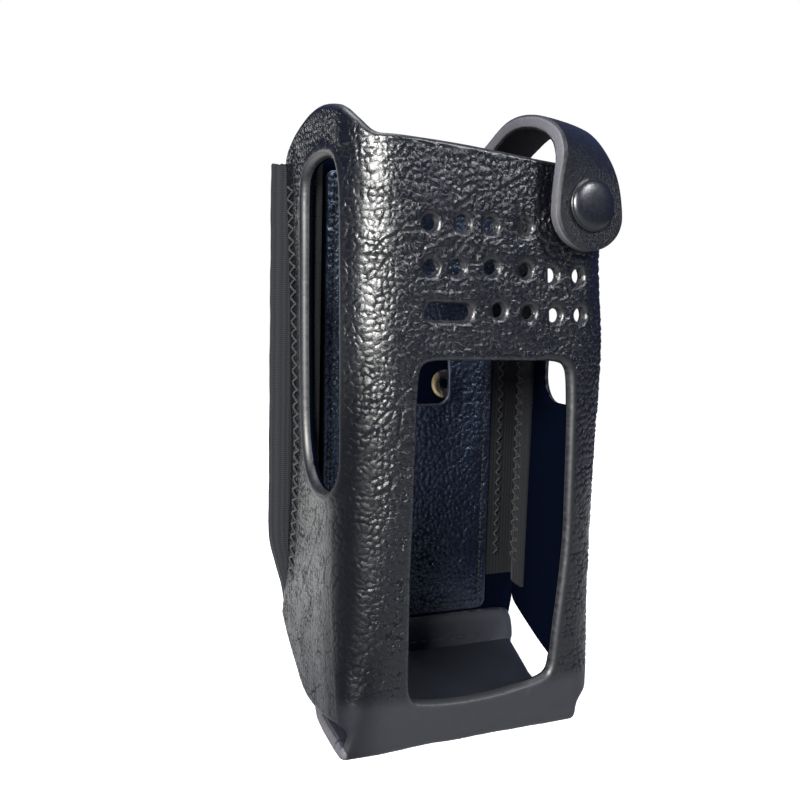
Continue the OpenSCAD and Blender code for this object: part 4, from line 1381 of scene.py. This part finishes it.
def strap_surface():
    """Points and attributes over the whole strap, as (station, section point) arrays."""
    position, depth, zone = strap_section()
    half = (np.linalg.norm(STRAP_RIGHT - STRAP_LEFT, axis=1) / 2 * WIDTH_SHARE)[:, None]
    across = position * half
    along = np.broadcast_to(STATIONS[:, None], across.shape)
    edge = np.maximum(0, half - np.abs(across))
    arris = np.clip(1 - edge / 0.55, 0, 1)
    rounding = 0.5 * (1 - np.sqrt(1 - arris * arris))
    pebbles, crease, weight = Grain(1.3, 6, shift=600.0, long_size=(15.0, 6.5),
                                    long_share=0.6).relief(across, along)
    keep = rise(0.3, 1.4, edge)
    rough = (fractal(across / 0.9, along / 0.9, 81, 3) - 0.5) * 0.30
    outer, side = zone == OUTER, zone == SIDE
    sunk = depth + np.where(outer, rounding - 0.07 * pebbles * keep,
                            np.where(side, 0.0, rough * 0.6 - rounding))
    belly = (0.16 * np.sin(depth / STRAP_THICKNESS * math.pi)
             + 0.10 * (fractal(along / 2.0, depth / 1.4, 83, 2) - 0.5))
    out = across + np.sign(position) * np.where(side, belly, 0)
    cup = 0.35 * (1 - (across / STRAP_HALF) ** 2) * 0.6
    points = (STRAP_MID[:, None] + out[..., None] * STRAP_ACROSS[:, None]
              - (sunk - cup)[..., None] * STRAP_NORMAL[:, None])
    return points, zone, {
        "pat": columns(across, along, depth), "edge": np.where(side, 0, edge),
        "cd": np.where(outer, crease, 2.0), "cw": np.where(outer, weight * keep * 0.6, 0),
        "smooth": np.where(outer, 1 - keep, 1)}


def strap_piece(name, surface, rows):
    """Closed mesh of the strap over a slice of its stations."""
    points, zone, attributes = surface
    points = points[rows]
    index = np.arange(points[..., 0].size).reshape(points.shape[:2])
    quads = ring_quads(index)
    caps, fans = [], []
    under = FACE_STEPS + SIDE_STEPS     # first section point of the inner face
    for row, last in ((index[0], False), (index[-1], True)):
        top, low = row[:FACE_STEPS + 1], row[under:under + FACE_STEPS + 1][::-1]
        cap = columns(top[:-1], low[:-1], low[1:], top[1:])
        caps.append(cap[:, ::-1] if last else cap)
        for end in (row[FACE_STEPS:under + 1], np.append(row[under + FACE_STEPS:], row[0])):
            fan = columns(end[0], end[2:], end[1:-1])
            fans.append(fan if last else fan[:, ::-1])
    caps, fans = np.vstack(caps), np.vstack(fans)
    face_zone = np.where(zone == np.roll(zone, -1), zone, SIDE)
    face_materials = np.concatenate([np.tile(face_zone, len(points) - 1),
                                     np.full(len(caps) + len(fans), SIDE)])
    attributes = {key: value[rows].reshape(-1, *value.shape[2:])
                  for key, value in attributes.items()}
    part = make(name, points.reshape(-1, 3), [quads, caps, fans],
                [STRAP_GRAIN, CUT_EDGE, STRAP_FLESH], face_materials, attributes)
    mark_sharp(part, 62)
    return part


def strap_root_map(u, v):
    """u across the strap, v its height on the back panel."""
    return upright(22.0 + u, 30.45, v, 1.0)


STRAP_SURFACE = strap_surface()
# the halves meet on the arch, near y = 2
SPLIT = int(np.argmin(np.abs(STRAP_MID[:, 1] - 2.0) + (STRAP_MID[:, 2] < 138) * 99))
strap_front = strap_piece("strap_front_half", STRAP_SURFACE, slice(0, SPLIT + 1))
register(strap_front, "strap_leather", "strap_tip", body=None)
strap_rear = strap_piece("strap_rear_half", STRAP_SURFACE, slice(SPLIT, None))
register(strap_rear, "strap_leather", "strap_root", "strap_arch", body=None)
ROOT_BOX = [(-5.6, 112.2), (5.6, 112.2), (5.6, 127.6), (-5.6, 127.6), (-5.6, 112.2)]
sew("strap_root_sewing",
    run_stitch(ROOT_BOX, strap_root_map, 2.0, 0.6)
    + run_stitch([ROOT_BOX[0], ROOT_BOX[2]], strap_root_map, 2.0, 0.6),
    0.28, "strap_root_stitch")

# ---------------------------------------------------------------- turned parts
# Profiles are (radius, height along the axis).
BACKWARD, FORWARD = (0, 1, 0), (0, -1, 0)
CAP_PROFILE = [
    (0, 1.75), (1.2, 1.74), (2.4, 1.69), (3.5, 1.58), (4.4, 1.40), (5.0, 1.17), (5.35, 0.92),
    (5.48, 0.72), (5.52, 0.60), (5.62, 0.58), (5.74, 0.48), (5.80, 0.30), (5.78, 0.12),
    (5.66, 0.0), (1.8, -0.05), (1.8, -3.2), (0, -3.2)]
SOCKET_PROFILE = [
    (5.5, -1.45), (5.8, -1.2), (5.8, -0.35), (5.5, 0.0), (4.7, 0.0), (4.4, -0.25), (4.4, -0.6),
    (4.55, -0.8), (4.4, -0.95), (0, -0.95), (0, -1.45)]
STUD_PROFILE = [
    (0, 0.0), (3.9, 0.0), (4.2, 0.2), (4.1, 0.5), (3.4, 0.7), (2.4, 0.72), (1.95, 0.85),
    (1.95, 1.0), (2.2, 1.15), (2.2, 1.35), (1.9, 1.5), (0, 1.5)]
EYELET_PROFILE = [
    (0.9, -2.9), (1.75, -2.9), (1.8, 0.0), (4.5, 0.0), (4.8, 0.3), (4.7, 0.7), (4.2, 0.9),
    (2.2, 0.9), (1.5, 0.6), (1.1, 0.0), (0.9, -1.0)]
PLATE_RIVET_PROFILE = [
    (0, 0.25), (1.3, 0.22), (1.75, 0.0), (1.95, -0.35), (2.3, -0.56), (2.9, -0.62),
    (3.4, -0.58), (3.85, -0.4), (4.0, -0.15), (3.95, 0.0), (1.5, 0.0), (1.5, 4.3), (2.8, 4.3),
    (3.0, 4.45), (2.9, 4.8), (2.2, 5.15), (1.1, 5.28), (0, 5.3)]
BUTTON_PROFILE = [
    (0, 0.0), (2.5, 0.0), (2.5, 1.5), (4.6, 1.5), (4.75, 1.7), (4.75, 7.7), (6.9, 7.7),
    (7.2, 8.0), (7.2, 9.1), (6.7, 9.6), (5.2, 9.7), (4.6, 9.35), (0, 9.25)]
HUB_RIVET_PROFILE = [
    (0, 0.15), (2.7, 0.15), (3.0, 0.35), (3.0, 1.0), (1.5, 1.0), (1.5, 7.6), (3.0, 7.6),
    (3.2, 7.8), (3.0, 8.15), (2.2, 8.5), (1.1, 8.6), (0, 8.62)]
RIVET_HOLE = 1.6        # radius
METAL_SLOT = "black_lacquered_metal"


def build_snap():
    station = int(np.argmin(np.abs(STRAP_MID[:60, 2] - SNAP_Z)))
    axis = STRAP_NORMAL[station]
    seat = STRAP_MID[station] + axis * 0.12
    cap = lathes("snap_cap_turned", [(CAP_PROFILE, seat, axis)], CAP_LACQUER, 96, 50)
    register(cap, METAL_SLOT, "snap_cap", body="strap_tip")
    socket_y = box_mm("snap_socket")[1][1]
    for word, profile, y, axis, sides, body in (
            ("socket", SOCKET_PROFILE, socket_y, BACKWARD, 72, "strap_tip"),
            ("stud", STUD_PROFILE, FRONT_Y, FORWARD, 64, "case"),
            ("eyelet", EYELET_PROFILE, FRONT_Y + LEATHER, BACKWARD, 64, "case")):
        piece = (profile, (SNAP_X, y, SNAP_Z), axis)
        register(lathes(f"snap_{word}_turned", [piece], METAL, sides),
                 METAL_SLOT, f"snap_{word}", body=body)


def build_swivel():
    low, high = box_mm("swivel_plate")
    outline = rounded_rect(-16, PIVOT_Z - 16, 16, PIVOT_Z + 16, 5, 10)
    loops = [resample(outline, 1.0)] + [circle(x, z, RIVET_HOLE, 20) for x, z in PLATE_RIVETS]
    register(plate("swivel_plate_pressed", loops, low[1], high[1], 0.4, METAL),
             METAL_SLOT, "swivel_plate")
    rivets = lathes("plate_rivets_turned",
                    [(PLATE_RIVET_PROFILE, (x, PANEL_IN, z), BACKWARD) for x, z in PLATE_RIVETS],
                    BRASS, 48)
    # painted shade: the heads inside the case are brass on their left side and coloured black on
    # their right, standing in for the shade and the dark reflection of the inside of the case
    # there
    wear_and_lit_side = []
    for vertex in rivets.data.vertices:
        x, y, z = vertex.co * 1000
        cx, cz = min(PLATE_RIVETS, key=lambda rivet: math.hypot(x - rivet[0], z - rivet[1]))
        side = x - cx + 0.25 * (z - cz)
        wear_and_lit_side.append(float(fall(-1.9, -0.9, side)) if y < PANEL_IN + 1 else 0.35)
    rivets.data.attributes.new("wear_and_lit_side", "FLOAT", "POINT").data.foreach_set("value", wear_and_lit_side)
    register(rivets, "brass", "plate_rivets")
    button = lathes("swivel_button_turned",
                    [(BUTTON_PROFILE, (0, PANEL_OUT, PIVOT_Z), BACKWARD)], METAL, 72)
    register(button, METAL_SLOT, "swivel_button")


def build_hub():
    front, rear = (float(corner[1]) for corner in box_mm("loop_hub"))
    loops = [circle(0, PIVOT_Z, 19, 96), circle(0, PIVOT_Z, 4.81, 48)]
    loops += [circle(x, PIVOT_Z + z, RIVET_HOLE, 20) for x, z in HUB_RIVETS]
    register(plate("loop_hub_moulded", loops, front, rear, 0.6, PLASTIC),
             "black_plastic", "loop_hub", body="belt_loop")
    pieces = [(HUB_RIVET_PROFILE, (x, front, PIVOT_Z + z), BACKWARD) for x, z in HUB_RIVETS]
    register(lathes("loop_rivets_turned", pieces, METAL, 40),
             METAL_SLOT, "loop_rivets", body="belt_loop")


build_snap()
build_swivel()
build_hub()

# ---------------------------------------------------------------- belt loop
LOOP_LOW, LOOP_HIGH = box_mm("loop_leather")
LOOP_FRONT, LOOP_REAR = float(LOOP_LOW[1]), float(LOOP_HIGH[1])
LOOP_BOTTOM, LOOP_TOP = float(LOOP_LOW[2]), float(LOOP_HIGH[2])
LOOP_JOINT_Z = 42       # where the band's two ends meet, on the front leaf
LOOP_STITCH_X = 22


def loop_ring():
    """Outer section of the band (y, z), closed, starting at the joint."""
    ring = rounded_rect(LOOP_FRONT, LOOP_BOTTOM, LOOP_REAR, LOOP_TOP, 6.4, 16)
    ring = resample(ring, 0.5)
    start = int(np.argmin(np.hypot(ring[:, 0] - LOOP_FRONT, ring[:, 1] - LOOP_JOINT_Z)))
    ring = np.roll(ring, -start, 0)
    return np.vstack([ring, ring[:1]])


RING = loop_ring()
RING_AT = arc_length(RING)
RING_TANGENT = unit(np.gradient(RING, axis=0))
RING_TABLE = np.hstack([RING, columns(RING_TANGENT[:, 1], -RING_TANGENT[:, 0])])


def loop_map(u, v):
    y, z, normal_y, normal_z = interp_rows(v, RING_AT, RING_TABLE).T
    # the outer leaf bows out very slightly between its folds
    height = (z - (LOOP_BOTTOM + LOOP_TOP) / 2) / (LOOP_TOP - LOOP_BOTTOM)
    bow = 0.3 * np.clip(y - LOOP_REAR + 1, 0, 1) * np.cos(height * math.pi)
    return columns(u, y + bow, z), unit(columns(0.0, normal_y, normal_z))


def build_belt_loop():
    grain = Grain(1.55, 8, shift=800.0, stretch=1.08)
    relief = plain_relief(
        grain, height=0.16, fade=(0.4, 1.8), swell_size=12, swell_height=0.3, swell_fade=5,
        seed=91, pressed=lambda u, v: 0.14 * bell(np.abs(u) - LOOP_STITCH_X, 0.9))
    on_front = np.abs(RING[:, 0] - LOOP_FRONT) < 0.05
    nearest = np.argmin(np.abs(RING[on_front, 1] - PIVOT_Z))
    pivot = float(RING_AT[on_front][nearest])
    joint_gap = 0.15
    outline = rounded_rect(-25, joint_gap, 25, RING_AT[-1] - joint_gap, 0.8, 4)
    loops = [resample(outline, 0.8), circle(0, pivot, 9, 60)]
    loops += [circle(x, pivot + z, RIVET_HOLE, 18) for x, z in HUB_RIVETS]
    band = sheet("belt_loop_leather", loops, loop_map, LEATHER, [1.3, 0.6] + [0.5] * 4, relief,
                 grain, step=0.52, back_step=2.4)
    register(band, "pebbled_leather", "loop_leather", body="belt_loop")

    on_rear = ((np.abs(RING[:, 0] - LOOP_REAR) < 0.05)
               & (RING[:, 1] > LOOP_BOTTOM + 8) & (RING[:, 1] < LOOP_TOP - 8))
    low, high = RING_AT[on_rear].min(), RING_AT[on_rear].max()
    seams = []
    for x in (-LOOP_STITCH_X, LOOP_STITCH_X):
        seams += run_stitch([(x, low), (x, high)], loop_map)
    sew("belt_loop_sewing", seams, 0.3, "loop_stitch", body="belt_loop")


build_belt_loop()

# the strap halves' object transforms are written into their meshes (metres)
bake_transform(strap_rear)
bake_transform(strap_front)


# ---------------------------------------------------------------- floor
def floor_material(name):
    """Pale matt floor. The camera sees it evenly bright; round the object it lights it as
    a white table would, most from behind and to the left."""
    pale = (0.85, 0.85, 0.855)
    black = (0.0, 0.0, 0.0)
    dim, bright = (0.36, 0.37, 0.40), (2.3, 2.3, 2.25)          # light given near the object
    far_glow, far_base = (0.01, 0.012, 0.03), (0.02, 0.02, 0.02)
    seen_far, seen_near = (1.0, 1.0, 1.0), (0.62, 0.62, 0.62)   # glow the camera sees
    mat = Shader(name)
    mottle = mat.noise(mat.object_mm(), scale=0.01, detail=2, roughness=0.5)
    colour = mat.ramp(mottle, (0.3, scaled(pale, 0.985)), (0.7, pale))
    position = mat.node("NewGeometry").outputs["Position"]
    distance = mat.node("VectorMath", {0: position}, operation="LENGTH").outputs["Value"]
    near = mat.remap(distance, over=(0.35, 0.95), to=(1.0, 0.0))
    camera_ray = mat.node("LightPath").outputs["Is Camera Ray"]
    side = mat.mul(mat.remap(mat.component(position, 1), over=(0.0, 0.22)),
                   mat.remap(mat.component(position, 0), over=(-0.02, 0.30), to=(1.0, 0.0)))
    lit = mat.mix(side, dim, bright)
    glow = mat.mix(camera_ray, mat.mix(near, far_glow, lit), mat.mix(near, seen_far, seen_near))
    base = mat.mix(camera_ray, mat.mix(near, far_base, (0.16, 0.16, 0.165)),
                   mat.mix(near, black, colour))
    return mat.finish(Base_Color=base, Roughness=0.8, Specular_IOR_Level=0.1,
                      Emission_Color=glow, Emission_Strength=1.0)


def build_floor():
    """Floor that sweeps up into the backdrop."""
    count = 25
    half_width, half_depth, sweep_from = 2200, 1800, 900
    X, Y = np.meshgrid(np.linspace(-1, 1, count), np.linspace(-1, 1, count))
    y = Y * half_depth
    z = np.where(y > sweep_from, (y - sweep_from) ** 2 / 1100, 0)
    index = np.arange(count * count).reshape(count, count)
    floor = make("floor_sweep", columns(X * half_width, y, z).reshape(-1, 3),
                 [grid_quads(index)], [floor_material("pale_floor")])


build_floor()

# ---------------------------------------------------------------- world, lights, camera (metres)
scene = bpy.context.scene
scene.view_settings.view_transform = "Standard"
scene.view_settings.look = "None"
scene.view_settings.exposure = 0.0


def build_world():
    """Dim blue light for the object, plain white for the camera."""
    world = bpy.data.worlds.new("studio")
    scene.world = world
    world.use_nodes = True
    tree = world.node_tree
    tree.nodes.clear()
    output = tree.nodes.new("ShaderNodeOutputWorld")
    mixer = tree.nodes.new("ShaderNodeMixShader")
    path = tree.nodes.new("ShaderNodeLightPath")
    tree.links.new(path.outputs["Is Camera Ray"], mixer.inputs[0])
    for slot, colour, strength in ((1, (0.28, 0.38, 1.0, 1), 0.24), (2, (1, 1, 1, 1), 1.0)):
        background = tree.nodes.new("ShaderNodeBackground")
        background.inputs["Color"].default_value = colour
        background.inputs["Strength"].default_value = strength
        tree.links.new(background.outputs[0], mixer.inputs[slot])
    tree.links.new(mixer.outputs[0], output.inputs[0])


def softbox(name, location, target, size, power, colour=(1, 1, 1)):
    light = bpy.data.lights.new(name, "AREA")
    light.shape = "RECTANGLE"
    light.size, light.size_y = size
    light.energy = power
    light.color = colour
    lamp = bpy.data.objects.new(name, light)
    scene.collection.objects.link(lamp)
    lamp.location = Vector(location)
    direction = Vector(target) - Vector(location)
    lamp.rotation_euler = direction.to_track_quat("-Z", "Y").to_euler()


def build_camera(location, yaw, pitch, roll, lens):
    """Camera turned right by yaw from +y and tilted up by pitch (radians)."""
    forward = Vector((math.sin(yaw) * math.cos(pitch), math.cos(yaw) * math.cos(pitch),
                      math.sin(pitch)))
    level_right = Vector((math.cos(yaw), -math.sin(yaw), 0))
    level_up = level_right.cross(forward)
    right = math.cos(roll) * level_right + math.sin(roll) * level_up
    up = -math.sin(roll) * level_right + math.cos(roll) * level_up
    data = bpy.data.cameras.new("camera")
    data.sensor_width = 36.0
    data.lens = lens
    data.clip_start, data.clip_end = 0.01, 20
    camera = bpy.data.objects.new("camera", data)
    scene.collection.objects.link(camera)
    matrix = Matrix((right, up, -forward)).transposed().to_4x4()
    matrix.translation = Vector(location)
    camera.matrix_world = matrix
    scene.camera = camera


build_world()
softbox("window_left", location=(-0.80, -0.84, 0.45), target=(0, 0, 0.085), size=(0.62, 0.38),
        power=56.0, colour=(1.0, 1.0, 0.96))
softbox("ceiling", location=(-0.06, 0.10, 1.05), target=(0, 0, 0.06), size=(0.5, 0.5), power=7.0)
softbox("back_left", location=(-0.45, 1.11, 0.13), target=(0, 0, 0.085), size=(0.34, 0.36),
        power=1.5)
softbox("front_top", location=(0.52, -0.95, 0.80), target=(0, 0, 0.08), size=(0.20, 0.20),
        power=11.0, colour=(0.95, 0.97, 1.0))
build_camera(location=(-0.08994094899503384, -0.18910004195960659, 0.09855731400650318),
             yaw=0.38810381383619963, pitch=-0.10745106995496587, roll=0.02446176744885365,
             lens=38.25)
